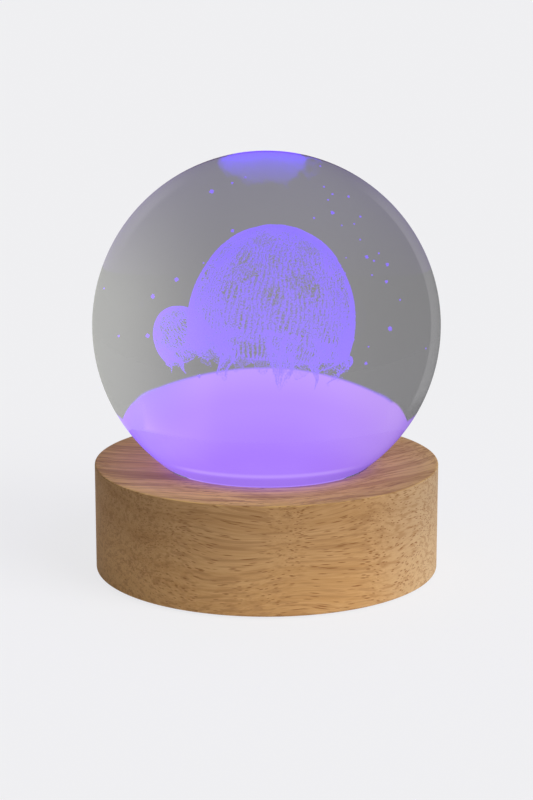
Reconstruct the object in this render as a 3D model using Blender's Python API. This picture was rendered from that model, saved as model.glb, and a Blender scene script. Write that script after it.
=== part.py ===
"""Crystal ball lamp: a solid glass ball resting in a turned wooden base that holds its light.

The frame stands on the feet: the origin is the middle of the footprint, +Z is up, the plain side
of the base faces -Y, and the plug pocket and the push button are in the wall on the +Y side.
All sizes are in metres.
"""

from math import atan2, cos, pi, radians, sin, sqrt

import bmesh
import bpy
from mathutils import Matrix, Vector

# Gaps and overruns
CLEARANCE = 0.0003
CUT_OVERRUN = 0.0015

# Glass ball, and how far it reaches down below the top of the wood
BALL_RADIUS = 0.040
BALL_SINK = 0.00808

# Figure engraved in the ball: a large bell and a small one beside it, with arms below.
# Rises are heights of a bell's middle above the ball's centre, and a lean tips it to the right.
BELL_WIDTH = 0.0260
BELL_HEIGHT = 0.0195
BELL_RISE = 0.0060
BELL_SHIFT = 0.0014
BELL_LEAN = 7
BELL_RIBS = 12
SMALL_BELL_WIDTH = 0.0090
SMALL_BELL_HEIGHT = 0.0072
SMALL_BELL_RISE = -0.0006
SMALL_BELL_LAP = 0.0022
SMALL_BELL_LEAN = -36
SMALL_BELL_RIBS = 6
BELL_TURN = 108
RIB_SHARE = 0.035
ARM_RADIUS = 0.0015
ARM_LENGTH = 0.0058
ARM_ANGLES = (10, 75, 150, 215, 290)
SMALL_ARM_RADIUS = 0.0009
SMALL_ARM_LENGTH = 0.0034
SMALL_ARM_ANGLES = (60, 180, 300)
ARM_CIRCLE_SHARE = 0.6
VENT_RADIUS = 0.0003

# Wooden base, which is as wide as the ball
BASE_HEIGHT = 0.025
BASE_EDGE = 0.0004
BASE_WALL = 0.009
BASE_RIM = 0.0037
SEAT_BEVEL_WIDTH = 0.0028
BOSS_RADIUS = 0.0038
BOSS_SET_OUT = 0.0005

# Soft ring that carries the ball
RING_WIDTH = 0.0045
RING_LIP = 0.0019
RING_LEDGE_STEP = 0.0005

# Frosted lens below the ball
LENS_GAP = 0.0025
LENS_THICKNESS = 0.0020
LENS_LAP = 0.0035
LENS_RECESS = 0.0010
LENS_EDGE = 0.0003

# Reflector cup round the light chips
CUP_MARGIN = 0.0018
CUP_WALL = 0.0010
CUP_RIM_WIDTH = 0.0017

# Bottom cover
COVER_THICKNESS = 0.0024
COVER_EDGE = 0.0003
POST_RADIUS = 0.0024
POST_INSET = 0.0055

# Feet
FOOT_RADIUS = 0.0040
FOOT_HEIGHT = 0.0015
FOOT_PROUD = 0.0005
FOOT_EDGE = 0.0002
FOOT_INSET = 0.0070

# Light board, and the share of the free height inside that lies below it
BOARD_GAP = 0.0005
BOARD_THICKNESS = 0.0016
POST_SHARE = 0.3723

# Light chips
LED_WIDTH = 0.0050
LED_HEIGHT = 0.0016
LED_WINDOW_RADIUS = 0.0018
LED_WINDOW_DEPTH = 0.0006
LED_SPACING = 0.0029

# Controller
CHIP_LENGTH = 0.0049
CHIP_WIDTH = 0.0039
CHIP_HEIGHT = 0.0015
CHIP_LIFT = 0.0002
CHIP_SPAN = 0.0060
LEG_WIDTH = 0.0004
LEG_THICKNESS = 0.0002
LEG_PITCH = 0.00127
LEG_FOOT = 0.0006
CHIP_INSET = 0.0042
CHIP_LEG_ROWS = 4

# Small board parts
RESISTOR_LENGTH = 0.0032
RESISTOR_WIDTH = 0.0016
RESISTOR_HEIGHT = 0.0006
TERMINAL_LENGTH = 0.0005
TERMINAL_STEP = 0.0001
RESISTOR_INSET = 0.0060
CAPACITOR_LENGTH = 0.0035
CAPACITOR_WIDTH = 0.0028
CAPACITOR_HEIGHT = 0.0019
CAPACITOR_EDGE = 0.0002
CAPACITOR_INSET = 0.0045

# Power inlet
PORT_WIDTH = 0.00894
PORT_HEIGHT = 0.00326
PORT_LENGTH = 0.0073
PORT_WALL = 0.0003
PORT_OVERHANG = 0.0025
TONGUE_MARGIN = 0.000825
TONGUE_THICKNESS = 0.0007
TONGUE_CORNER = 0.0002
TONGUE_SETBACK = 0.0008
INSERT_LENGTH = 0.0014
POCKET_WIDTH = 0.0130
POCKET_HEIGHT = 0.0076
POCKET_CORNER = 0.0018

# Push button and the switch behind it
BUTTON_RADIUS = 0.0030
BUTTON_PROUD = 0.0008
BUTTON_DOME = 0.0005
DOME_RADIUS_SHARE = 0.7
DOME_DROP_SHARE = 0.25
BUTTON_FLANGE_STEP = 0.0012
BUTTON_FLANGE_THICKNESS = 0.0010
BUTTON_SET_OUT = 0.0030
BUTTON_STEM_RADIUS = 0.0013
BUTTON_TRAVEL = 0.0006
SWITCH_WIDTH = 0.0060
SWITCH_DEPTH = 0.0040
SWITCH_HEIGHT = 0.0034
SWITCH_EDGE = 0.0002
SWITCH_SETBACK = 0.0026
PLUNGER_RADIUS = 0.0009
PLUNGER_REACH = 0.0012
PLUNGER_GRIP = 0.0016

# Screws
COVER_SCREW_LENGTH = 0.0100
COVER_SCREW_RADIUS = 0.0013
COVER_SCREW_HEAD_RADIUS = 0.0023
COVER_SCREW_HEAD_RIM = 0.0003
COVER_SCREW_SINK = 0.0002
COVER_SCREW_TIP = 0.0012
COUNTERSINK_GAP = 0.00045
BOARD_SCREW_LENGTH = 0.0050
BOARD_SCREW_RADIUS = 0.0010
BOARD_SCREW_HEAD_RADIUS = 0.0019
BOARD_SCREW_HEAD_HEIGHT = 0.0013
BOARD_SCREW_TIP = 0.0005
RECESS_WIDTH = 0.0005
RECESS_SHARE = 0.7
HEAD_EDGE_SHARE = 0.35
RECESS_DEPTH = 0.0007

# Directions round the lamp, in degrees from +X towards +Y
PORT_ANGLE = 90
BUTTON_ANGLE = 60
COVER_SCREW_ANGLES = (30, 150, 270)
BOARD_SCREW_ANGLES = (0, 120, 240)
FOOT_ANGLES = (45, 135, 225, 315)
LED_ANGLES = (45, 135, 225, 315)
CHIP_ANGLE = 180
CAPACITOR_ANGLE = 300
RESISTOR_ANGLES = (200, 215, 320)

# Facets
BALL_FACETS = 48
LARGE_FACETS = 72
MIDDLE_FACETS = 24
SMALL_FACETS = 16
CORNER_STEPS = 4
SEAT_STEPS = 3
BELL_STEPS = 6
ARM_FACETS = 6

# Heights that follow from the sizes above
WOOD_BOTTOM = FOOT_PROUD
WOOD_TOP = WOOD_BOTTOM + BASE_HEIGHT
BALL_CENTRE = WOOD_TOP + BALL_RADIUS - BALL_SINK
LENS_TOP = BALL_CENTRE - BALL_RADIUS - LENS_GAP
LENS_BOTTOM = LENS_TOP - LENS_THICKNESS
CAVITY_ROOF = LENS_TOP + CLEARANCE - LENS_RECESS
COVER_INSIDE = WOOD_BOTTOM + COVER_THICKNESS
INNER_HEIGHT = LENS_BOTTOM - COVER_INSIDE - BOARD_THICKNESS - 3 * CLEARANCE
POST_HEIGHT = POST_SHARE * INNER_HEIGHT
BOARD_BOTTOM = COVER_INSIDE + POST_HEIGHT + CLEARANCE
BOARD_TOP = BOARD_BOTTOM + BOARD_THICKNESS
PARTS_FLOOR = BOARD_TOP + CLEARANCE
PORT_AXIS = PARTS_FLOOR + PORT_HEIGHT / 2
BUTTON_AXIS = PARTS_FLOOR + SWITCH_HEIGHT / 2

# Radii and distances that follow from them
BASE_RADIUS = BALL_RADIUS
CAVITY_RADIUS = BASE_RADIUS - BASE_WALL
COVER_POCKET_RADIUS = BASE_RADIUS - BASE_RIM
COVER_RADIUS = COVER_POCKET_RADIUS - CLEARANCE
BOARD_RADIUS = CAVITY_RADIUS - BOARD_GAP
BOSS_CIRCLE_RADIUS = CAVITY_RADIUS + BOSS_SET_OUT
POST_CIRCLE_RADIUS = BOARD_RADIUS - POST_INSET
FOOT_CIRCLE_RADIUS = COVER_RADIUS - FOOT_INSET
LED_CIRCLE_RADIUS = (LED_WIDTH + LED_SPACING) / sqrt(2)
CUP_FOOT_RADIUS = LED_CIRCLE_RADIUS + LED_WIDTH / sqrt(2) + CUP_MARGIN
SEAT_MOUTH_RADIUS = sqrt((BALL_RADIUS + CLEARANCE) ** 2 - (BALL_RADIUS - BALL_SINK) ** 2)
POCKET_RADIUS = SEAT_MOUTH_RADIUS - SEAT_BEVEL_WIDTH
RING_OUTER_RADIUS = POCKET_RADIUS - CLEARANCE
RING_INNER_RADIUS = RING_OUTER_RADIUS - RING_WIDTH
WELL_RADIUS = RING_INNER_RADIUS - RING_LEDGE_STEP
LENS_RADIUS = WELL_RADIUS + LENS_LAP
PORT_MOUTH = BOARD_RADIUS + PORT_OVERHANG
BUTTON_SHOULDER = BOARD_RADIUS + BUTTON_SET_OUT
BUTTON_FLANGE_RADIUS = BUTTON_RADIUS + BUTTON_FLANGE_STEP
SWITCH_FRONT = BOARD_RADIUS - SWITCH_SETBACK
PLUNGER_TIP = SWITCH_FRONT + PLUNGER_REACH
COVER_SCREW_FOOT = WOOD_BOTTOM + COVER_SCREW_SINK


def underside(radius, gap):
    """Height of the ball's surface, grown by a gap, at a distance from the axis."""
    return BALL_CENTRE - sqrt((BALL_RADIUS + gap) ** 2 - radius**2)


RING_BOTTOM = underside(RING_INNER_RADIUS, CLEARANCE) - RING_LIP
LEDGE = RING_BOTTOM - CLEARANCE


def clear_scene():
    """Remove every object, so that the model starts from nothing."""
    for found in list(bpy.data.objects):
        bpy.data.objects.remove(found, do_unlink=True)


def finish(name, colour, roughness, metallic=0.0, transmission=0.0):
    """A plain material for one sub-part."""
    made = bpy.data.materials.new(name)
    made.use_nodes = True
    shader = made.node_tree.nodes["Principled BSDF"]
    shader.inputs["Base Color"].default_value = (*colour, 1.0)
    shader.inputs["Roughness"].default_value = roughness
    shader.inputs["Metallic"].default_value = metallic
    shader.inputs["Transmission Weight"].default_value = transmission
    return made


def to_object(name, mesh_data, material=None):
    """Turn a bmesh into a named object that is shaded smooth up to its sharp edges."""
    bmesh.ops.recalc_face_normals(mesh_data, faces=mesh_data.faces)
    mesh = bpy.data.meshes.new(name)
    mesh_data.to_mesh(mesh)
    mesh_data.free()
    mesh.shade_smooth()
    mesh.set_sharp_from_angle(angle=radians(35))
    if material:
        mesh.materials.append(material)
    made = bpy.data.objects.new(name, mesh)
    bpy.context.scene.collection.objects.link(made)
    return made


def turned(name, profile, facets, material=None):
    """A body turned round Z from a profile of (radius, height) points.

    The profile either starts and ends on the axis or closes on itself off the axis.
    """
    data = bmesh.new()
    points = [data.verts.new((radius, 0, height)) for radius, height in profile]
    edges = [data.edges.new(pair) for pair in zip(points, points[1:])]
    if profile[0][0] > 0:
        edges.append(data.edges.new((points[-1], points[0])))
    bmesh.ops.spin(
        data,
        geom=points + edges,
        axis=(0, 0, 1),
        cent=(0, 0, 0),
        angle=2 * pi,
        steps=facets,
        use_merge=True,
    )
    near_axis = [v for v in data.verts if v.co.xy.length < CLEARANCE / 10]
    bmesh.ops.remove_doubles(data, verts=near_axis, dist=CLEARANCE / 10)
    poles = [v for v in data.verts if v.co.xy.length < CLEARANCE / 10]
    flat_poles = [v for v in poles if is_level(v)]
    bmesh.ops.dissolve_verts(data, verts=flat_poles)
    return to_object(name, data, material)


def is_level(vertex):
    """Whether every neighbour of a vertex lies at the vertex's own height."""
    heights = [edge.other_vert(vertex).co.z for edge in vertex.link_edges]
    return max(heights) - min(heights) + abs(heights[0] - vertex.co.z) < CLEARANCE / 100


def prism(name, outline, length, material=None):
    """A body with an outline of (x, y) points on the plane Z = 0, drawn up to a length."""
    data = bmesh.new()
    base = data.faces.new([data.verts.new((x, y, 0)) for x, y in outline])
    drawn = bmesh.ops.extrude_face_region(data, geom=[base])
    moved = [item for item in drawn["geom"] if isinstance(item, bmesh.types.BMVert)]
    bmesh.ops.translate(data, verts=moved, vec=(0, 0, length))
    return to_object(name, data, material)


def block(name, length, width, height, material=None, edge=0):
    """A box on the plane Z = 0, centred in X and Y, with its upright and top edges eased."""
    data = bmesh.new()
    bmesh.ops.create_cube(data, size=1, matrix=Matrix.Diagonal((length, width, height, 1)))
    bmesh.ops.translate(data, verts=data.verts, vec=(0, 0, height / 2))
    if edge:
        upper = [e for e in data.edges if max(v.co.z for v in e.verts) > height / 2]
        bmesh.ops.bevel(data, geom=upper, offset=edge, segments=1, affect="EDGES")
    return to_object(name, data, material)


def rounded_rectangle(width, height, corner):
    """Outline of a rectangle with round corners, centred, running anticlockwise."""
    outline = []
    for quarter, (side, end) in enumerate(((1, 1), (-1, 1), (-1, -1), (1, -1))):
        middle = (side * (width / 2 - corner), end * (height / 2 - corner))
        for step in range(CORNER_STEPS + 1):
            angle = (quarter + step / CORNER_STEPS) * pi / 2
            outline.append((middle[0] + corner * cos(angle), middle[1] + corner * sin(angle)))
    return outline


def around(angle, radius, height):
    """The point at a direction in degrees, a distance from the axis and a height."""
    return Vector((radius * cos(radians(angle)), radius * sin(radians(angle)), height))


def place(part, angle, radius, height):
    """Stand a part at a place round the axis, with its X side facing outwards."""
    part.location = around(angle, radius, height)
    part.rotation_euler = (0, 0, radians(angle))
    return part


def point_outwards(part, angle, radius, height):
    """Lay a part down so that its own Z axis points away from the lamp's axis."""
    part.location = around(angle, radius, height)
    part.rotation_euler = (0, pi / 2, radians(angle))
    return part


def cut(part, tool):
    """Take a tool's shape out of a part, and keep the tool as a hidden guide."""
    apply_boolean(part, tool, "DIFFERENCE")


def add(part, tool):
    """Join a tool's shape to a part, and keep the tool as a hidden guide."""
    apply_boolean(part, tool, "UNION")


def apply_boolean(part, tool, operation):
    """Give a part a Boolean modifier that reads a hidden tool."""
    tool.hide_render = True
    tool.display_type = "WIRE"
    modifier = part.modifiers.new(tool.name, "BOOLEAN")
    modifier.operation = operation
    modifier.solver = "EXACT"
    modifier.object = tool


def bevelled_disc(name, radius, bottom, thickness, edge, facets, material=None):
    """A flat disc with its two rims eased by a small bevel."""
    top = bottom + thickness
    profile = [
        (0, bottom),
        (radius - edge, bottom),
        (radius, bottom + edge),
        (radius, top - edge),
        (radius - edge, top),
        (0, top),
    ]
    return turned(name, profile, facets, material)


def plug(name, radius, length, facets):
    """A plain round cutting tool that stands on Z = 0."""
    return turned(name, [(0, 0), (radius, 0), (radius, length), (0, length)], facets)


def bell_profile(width, height, grow):
    """An arc from a bell's crown past its widest place to its rim, grown by a gap."""
    turn = radians(BELL_TURN)
    profile = []
    for step in range(BELL_STEPS + 1):
        angle = turn * step / BELL_STEPS
        drop = (height + 2 * grow) * (1 - cos(angle)) / (1 - cos(turn))
        profile.append(((width / 2 + grow) * sin(angle), height / 2 + grow - drop))
    return profile + [(0, profile[-1][1])]


def make_bell(name, size, ribs, grow):
    """A bell of a width and a height round Z, with ribs between lines that are drawn in."""
    bell = turned(name, bell_profile(*size, grow), 2 * ribs)
    for vertex in bell.data.vertices:
        wave = cos(ribs * atan2(vertex.co.y, vertex.co.x))
        vertex.co.xy = vertex.co.xy * (1 - RIB_SHARE * (1 - wave) / 2)
    return bell


def add_arms(bell, size, arm, angles, grow):
    """Hang pointed arms of a radius and a length below a bell's rim, grown by a gap."""
    width, height = size
    radius, length = arm
    tip = height / 2 + length + grow * length / radius
    for number, angle in enumerate(angles, 1):
        profile = [(0, -tip), (radius + grow, -height / 2), (0, 0)]
        hung = turned(f"{bell.name}_arm_{number}", profile, ARM_FACETS)
        reach = around(angle, ARM_CIRCLE_SHARE * width / 2, 0)
        hung.data.transform(Matrix.Translation(reach))
        add(bell, hung)
        hung.parent = bell


def make_figure(name, ball, grow):
    """The engraved figure as one body in the ball, grown by a gap: two ribbed bells with arms."""
    large = (BELL_WIDTH, BELL_HEIGHT)
    figure = make_bell(name, large, BELL_RIBS, grow)
    figure.parent = ball
    figure.location = (BELL_SHIFT, 0, BELL_RISE)
    figure.rotation_euler = (0, radians(BELL_LEAN), 0)
    add_arms(figure, large, (ARM_RADIUS, ARM_LENGTH), ARM_ANGLES, grow)
    little = (SMALL_BELL_WIDTH, SMALL_BELL_HEIGHT)
    small = make_bell(f"{name}_small_bell", little, SMALL_BELL_RIBS, grow)
    beside = BELL_SHIFT - (BELL_WIDTH + SMALL_BELL_WIDTH) / 2 + SMALL_BELL_LAP
    small.parent = ball
    small.location = (beside, 0, SMALL_BELL_RISE)
    small.rotation_euler = (0, radians(SMALL_BELL_LEAN), 0)
    small_arm = (SMALL_ARM_RADIUS, SMALL_ARM_LENGTH)
    add_arms(small, little, small_arm, SMALL_ARM_ANGLES, grow)
    add(figure, small)
    return figure


def make_ball(glass):
    """The glass ball, which lifts off its seat, with a close hollow for the engraved figure.

    A fine vent leads from the hollow to the ball's foot.
    """
    data = bmesh.new()
    bmesh.ops.create_uvsphere(
        data, u_segments=BALL_FACETS, v_segments=BALL_FACETS // 2, radius=BALL_RADIUS
    )
    ball = to_object("crystal_ball", data, glass)
    ball.location = (0, 0, BALL_CENTRE)
    cut(ball, make_figure("figure_hollow", ball, CLEARANCE))
    vent = plug("figure_vent", VENT_RADIUS, BALL_RADIUS + CUT_OVERRUN + BELL_RISE, ARM_FACETS)
    vent.parent = ball
    vent.location = (0, 0, -BALL_RADIUS - CUT_OVERRUN)
    cut(ball, vent)
    return ball


def make_engraving(ball, engraved):
    """The engraved figure, as the closed shape that its fine cracks fill."""
    figure = make_figure("engraved_figure", ball, 0)
    figure.data.materials.append(engraved)
    return figure


def seat_arc(inner, outer, gap):
    """Points along the ball's underside, grown by a gap, from one radius out to another."""
    radii = [inner + (outer - inner) * step / SEAT_STEPS for step in range(SEAT_STEPS + 1)]
    return [(radius, underside(radius, gap)) for radius in radii]


def make_seat_ring(silicone):
    """The soft ring in the base's pocket, whose dished top carries the ball."""
    profile = seat_arc(RING_INNER_RADIUS, RING_OUTER_RADIUS, CLEARANCE)
    profile += [(RING_OUTER_RADIUS, RING_BOTTOM), (RING_INNER_RADIUS, RING_BOTTOM)]
    return turned("seat_ring", profile, LARGE_FACETS, silicone)


def base_profile():
    """Half section of the turned base: outer wall, seat mouth, ring pocket, well and cavity."""
    lens_pocket = LENS_RADIUS + CLEARANCE
    cover_ledge = COVER_INSIDE + CLEARANCE
    return [
        (COVER_POCKET_RADIUS, WOOD_BOTTOM),
        (BASE_RADIUS - BASE_EDGE, WOOD_BOTTOM),
        (BASE_RADIUS, WOOD_BOTTOM + BASE_EDGE),
        (BASE_RADIUS, WOOD_TOP - BASE_EDGE),
        (BASE_RADIUS - BASE_EDGE, WOOD_TOP),
        (SEAT_MOUTH_RADIUS, WOOD_TOP),
        (POCKET_RADIUS, underside(POCKET_RADIUS, 2 * CLEARANCE)),
        (POCKET_RADIUS, LEDGE),
        (WELL_RADIUS, LEDGE),
        (WELL_RADIUS, LENS_TOP + CLEARANCE),
        (lens_pocket, LENS_TOP + CLEARANCE),
        (lens_pocket, CAVITY_ROOF),
        (CAVITY_RADIUS, CAVITY_ROOF),
        (CAVITY_RADIUS, cover_ledge),
        (COVER_POCKET_RADIUS, cover_ledge),
    ]


def make_boss(angle):
    """A wooden boss left standing in the cavity for one of the cover's screws."""
    foot = COVER_INSIDE + CLEARANCE
    boss = plug(f"boss_{angle}", BOSS_RADIUS, CAVITY_ROOF + CUT_OVERRUN - foot, MIDDLE_FACETS)
    boss.location = around(angle, BOSS_CIRCLE_RADIUS, foot)
    return boss


def make_pilot_hole(angle):
    """The hole up a boss, just wider and longer than its screw."""
    foot = COVER_INSIDE + CLEARANCE - CUT_OVERRUN
    depth = COVER_SCREW_FOOT + COVER_SCREW_LENGTH + CLEARANCE - foot
    hole = plug(f"pilot_{angle}", COVER_SCREW_RADIUS + CLEARANCE, depth, SMALL_FACETS)
    hole.location = around(angle, BOSS_CIRCLE_RADIUS, foot)
    return hole


def outward_tool(name, outline, start, end):
    """A cutting tool with an upright outline, from one distance behind the port to another."""
    tool = prism(name, outline, end - start)
    tool.location = around(PORT_ANGLE, start, PORT_AXIS)
    tool.rotation_euler = (pi / 2, 0, radians(PORT_ANGLE + 90))
    return tool


def cut_port_openings(base):
    """The pocket that takes the plug's grip, and the slot that the inlet stands in."""
    pocket_floor = PORT_MOUTH + CLEARANCE
    grip = rounded_rectangle(POCKET_WIDTH, POCKET_HEIGHT, POCKET_CORNER)
    cut(base, outward_tool("plug_pocket", grip, pocket_floor, BASE_RADIUS + CUT_OVERRUN))
    width = PORT_WIDTH + 2 * CLEARANCE
    height = PORT_HEIGHT + 2 * CLEARANCE
    slot = rounded_rectangle(width, height, height / 2)
    slot_start = BOARD_RADIUS - CUT_OVERRUN
    cut(base, outward_tool("port_slot", slot, slot_start, pocket_floor + CUT_OVERRUN))


def cut_button_bore(base):
    """The stepped bore that guides the button and stops its flange."""
    bore = plug(
        "button_bore",
        BUTTON_RADIUS + CLEARANCE,
        BASE_RADIUS - BUTTON_SHOULDER + 2 * CUT_OVERRUN,
        MIDDLE_FACETS,
    )
    point_outwards(bore, BUTTON_ANGLE, BUTTON_SHOULDER - CUT_OVERRUN, BUTTON_AXIS)
    cut(base, bore)
    chamber_start = BOARD_RADIUS - CUT_OVERRUN
    chamber = plug(
        "button_chamber",
        BUTTON_FLANGE_RADIUS + CLEARANCE,
        BUTTON_SHOULDER - chamber_start,
        MIDDLE_FACETS,
    )
    point_outwards(chamber, BUTTON_ANGLE, chamber_start, BUTTON_AXIS)
    cut(base, chamber)


def make_base(wood):
    """The wooden base, turned to its profile and then bored, with screw bosses left inside."""
    base = turned("wood_base", base_profile(), LARGE_FACETS, wood)
    for angle in COVER_SCREW_ANGLES:
        add(base, make_boss(angle))
    for angle in COVER_SCREW_ANGLES:
        cut(base, make_pilot_hole(angle))
    cut_port_openings(base)
    cut_button_bore(base)
    return base


def make_lens(frosted):
    """The frosted lens between the light chips and the ball."""
    return bevelled_disc(
        "diffuser_lens",
        LENS_RADIUS,
        LENS_BOTTOM,
        LENS_THICKNESS,
        LENS_EDGE,
        LARGE_FACETS,
        frosted,
    )


def make_cup(plastic):
    """The reflector cup: a funnel that stands on the board and holds the lens up."""
    top = LENS_BOTTOM - CLEARANCE
    mouth = LENS_RADIUS - CUP_RIM_WIDTH
    profile = [
        (CUP_FOOT_RADIUS, PARTS_FLOOR),
        (CUP_FOOT_RADIUS + CUP_WALL, PARTS_FLOOR),
        (mouth + CUP_WALL, top - CUP_WALL),
        (LENS_RADIUS, top - CUP_WALL),
        (LENS_RADIUS, top),
        (mouth, top),
    ]
    return turned("reflector_cup", profile, LARGE_FACETS, plastic)


def make_cover(plastic):
    """The bottom cover, with posts for the board, countersunk holes and pockets for the feet."""
    cover = bevelled_disc(
        "bottom_cover",
        COVER_RADIUS,
        WOOD_BOTTOM,
        COVER_THICKNESS,
        COVER_EDGE,
        LARGE_FACETS,
        plastic,
    )
    screw_tip = PARTS_FLOOR - BOARD_SCREW_LENGTH
    for angle in BOARD_SCREW_ANGLES:
        post = plug(f"post_{angle}", POST_RADIUS, POST_HEIGHT + CLEARANCE, MIDDLE_FACETS)
        post.location = around(angle, POST_CIRCLE_RADIUS, COVER_INSIDE - CLEARANCE)
        add(cover, post)
        depth = COVER_INSIDE + POST_HEIGHT + CUT_OVERRUN - screw_tip + CLEARANCE
        bore = plug(f"post_bore_{angle}", BOARD_SCREW_RADIUS + CLEARANCE, depth, SMALL_FACETS)
        bore.location = around(angle, POST_CIRCLE_RADIUS, screw_tip - CLEARANCE)
        cut(cover, bore)
    for angle in COVER_SCREW_ANGLES:
        hole = turned(f"cover_hole_{angle}", countersink(), MIDDLE_FACETS)
        hole.location = around(angle, BOSS_CIRCLE_RADIUS, COVER_SCREW_FOOT)
        cut(cover, hole)
    for angle in FOOT_ANGLES:
        recess = plug(
            f"foot_recess_{angle}",
            FOOT_RADIUS + CLEARANCE,
            FOOT_HEIGHT + CLEARANCE,
            MIDDLE_FACETS,
        )
        recess.location = around(angle, FOOT_CIRCLE_RADIUS, 0)
        cut(cover, recess)
    return cover


def screw_head_depth():
    """Depth of the countersunk head's cone, which slopes at 45 degrees."""
    return COVER_SCREW_HEAD_RADIUS - COVER_SCREW_RADIUS


def countersink():
    """Profile of the hole that takes a cover screw with its sunk head."""
    wide = COVER_SCREW_HEAD_RADIUS + COUNTERSINK_GAP
    narrow = COVER_SCREW_RADIUS + CLEARANCE
    rim = COVER_SCREW_HEAD_RIM
    return [
        (0, -CUT_OVERRUN),
        (wide, -CUT_OVERRUN),
        (wide, rim),
        (narrow, rim + wide - narrow),
        (narrow, COVER_THICKNESS + CUT_OVERRUN),
        (0, COVER_THICKNESS + CUT_OVERRUN),
    ]


def cut_cross(screw, head_radius, face):
    """The cross recess sunk into a screw's head, whose face lies at a height along the screw."""
    arm = 2 * RECESS_SHARE * head_radius
    data = bmesh.new()
    shape = Matrix.Diagonal((arm, RECESS_WIDTH, 2 * RECESS_DEPTH, 1))
    bmesh.ops.create_cube(data, size=1, matrix=shape)
    tool = to_object(f"{screw.name}_recess", data)
    second = tool.copy()
    second.name = f"{screw.name}_recess_across"
    bpy.context.scene.collection.objects.link(second)
    second.rotation_euler = (0, 0, pi / 2)
    for arm_tool in (tool, second):
        arm_tool.parent = screw
        arm_tool.location = (0, 0, face)
        cut(screw, arm_tool)


def make_cover_screw(number, angle, steel):
    """A countersunk screw that holds the cover to a boss, with its head down."""
    rim = COVER_SCREW_HEAD_RIM
    profile = [
        (0, 0),
        (COVER_SCREW_HEAD_RADIUS, 0),
        (COVER_SCREW_HEAD_RADIUS, rim),
        (COVER_SCREW_RADIUS, rim + screw_head_depth()),
        (COVER_SCREW_RADIUS, COVER_SCREW_LENGTH - COVER_SCREW_TIP),
        (0, COVER_SCREW_LENGTH),
    ]
    screw = turned(f"cover_screw_{number}", profile, SMALL_FACETS, steel)
    screw.location = around(angle, BOSS_CIRCLE_RADIUS, COVER_SCREW_FOOT)
    cut_cross(screw, COVER_SCREW_HEAD_RADIUS, 0)
    return screw


def make_board_screw(number, angle, steel):
    """A round-headed screw that holds the board to a post, with its head up."""
    dome = HEAD_EDGE_SHARE * BOARD_SCREW_HEAD_HEIGHT
    profile = [
        (0, -BOARD_SCREW_LENGTH),
        (BOARD_SCREW_RADIUS - BOARD_SCREW_TIP, -BOARD_SCREW_LENGTH),
        (BOARD_SCREW_RADIUS, BOARD_SCREW_TIP - BOARD_SCREW_LENGTH),
        (BOARD_SCREW_RADIUS, 0),
        (BOARD_SCREW_HEAD_RADIUS, 0),
        (BOARD_SCREW_HEAD_RADIUS, BOARD_SCREW_HEAD_HEIGHT - dome),
        (BOARD_SCREW_HEAD_RADIUS - dome, BOARD_SCREW_HEAD_HEIGHT),
        (0, BOARD_SCREW_HEAD_HEIGHT),
    ]
    screw = turned(f"board_screw_{number}", profile, SMALL_FACETS, steel)
    screw.location = around(angle, POST_CIRCLE_RADIUS, PARTS_FLOOR)
    cut_cross(screw, BOARD_SCREW_HEAD_RADIUS, BOARD_SCREW_HEAD_HEIGHT)
    return screw


def make_foot(number, angle, rubber):
    """A round rubber foot, sunk in the cover for most of its height."""
    foot = bevelled_disc(
        f"rubber_foot_{number}", FOOT_RADIUS, 0, FOOT_HEIGHT, FOOT_EDGE, MIDDLE_FACETS, rubber
    )
    foot.location = around(angle, FOOT_CIRCLE_RADIUS, 0)
    return foot


def make_board(laminate):
    """The round board that carries the light chips, the inlet and the switch."""
    board = plug("led_board", BOARD_RADIUS, BOARD_THICKNESS, LARGE_FACETS)
    board.data.materials.append(laminate)
    board.location = (0, 0, BOARD_BOTTOM)
    through = BOARD_THICKNESS + 2 * CUT_OVERRUN
    for angle in COVER_SCREW_ANGLES:
        notch = plug(f"notch_{angle}", BOSS_RADIUS + CLEARANCE, through, MIDDLE_FACETS)
        cut(board, place(notch, angle, BOSS_CIRCLE_RADIUS, BOARD_BOTTOM - CUT_OVERRUN))
    for angle in BOARD_SCREW_ANGLES:
        hole = plug(f"board_hole_{angle}", BOARD_SCREW_RADIUS + CLEARANCE, through, SMALL_FACETS)
        hole.location = around(angle, POST_CIRCLE_RADIUS, BOARD_BOTTOM - CUT_OVERRUN)
        cut(board, hole)
    return board


def make_led(number, angle, package):
    """A light chip: a square package with a round dish in its face."""
    led = block(f"rgb_led_{number}", LED_WIDTH, LED_WIDTH, LED_HEIGHT, package)
    led.location = around(angle, LED_CIRCLE_RADIUS, PARTS_FLOOR)
    depth = LED_WINDOW_DEPTH + CUT_OVERRUN
    dish = plug(f"led_dish_{number}", LED_WINDOW_RADIUS, depth, SMALL_FACETS)
    dish.location = around(angle, LED_CIRCLE_RADIUS, PARTS_FLOOR + LED_HEIGHT - LED_WINDOW_DEPTH)
    cut(led, dish)
    return led


def chip_leg_outline():
    """Side view of a pair of opposite legs, joined by a bar that runs through the package."""
    reach = CHIP_SPAN / 2
    bend = reach - LEG_FOOT
    shoulder = CHIP_LIFT + CHIP_HEIGHT / 2
    thick = LEG_THICKNESS
    right = [
        (reach, 0),
        (reach, thick),
        (bend + thick, thick),
        (bend + thick, shoulder + thick),
    ]
    left = [(-x, y) for x, y in reversed(right)]
    inner_left = [(-reach, 0), (-bend, 0), (-bend, shoulder)]
    inner_right = [(bend, shoulder), (bend, 0)]
    return right + left[:-1] + inner_left + inner_right


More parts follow.
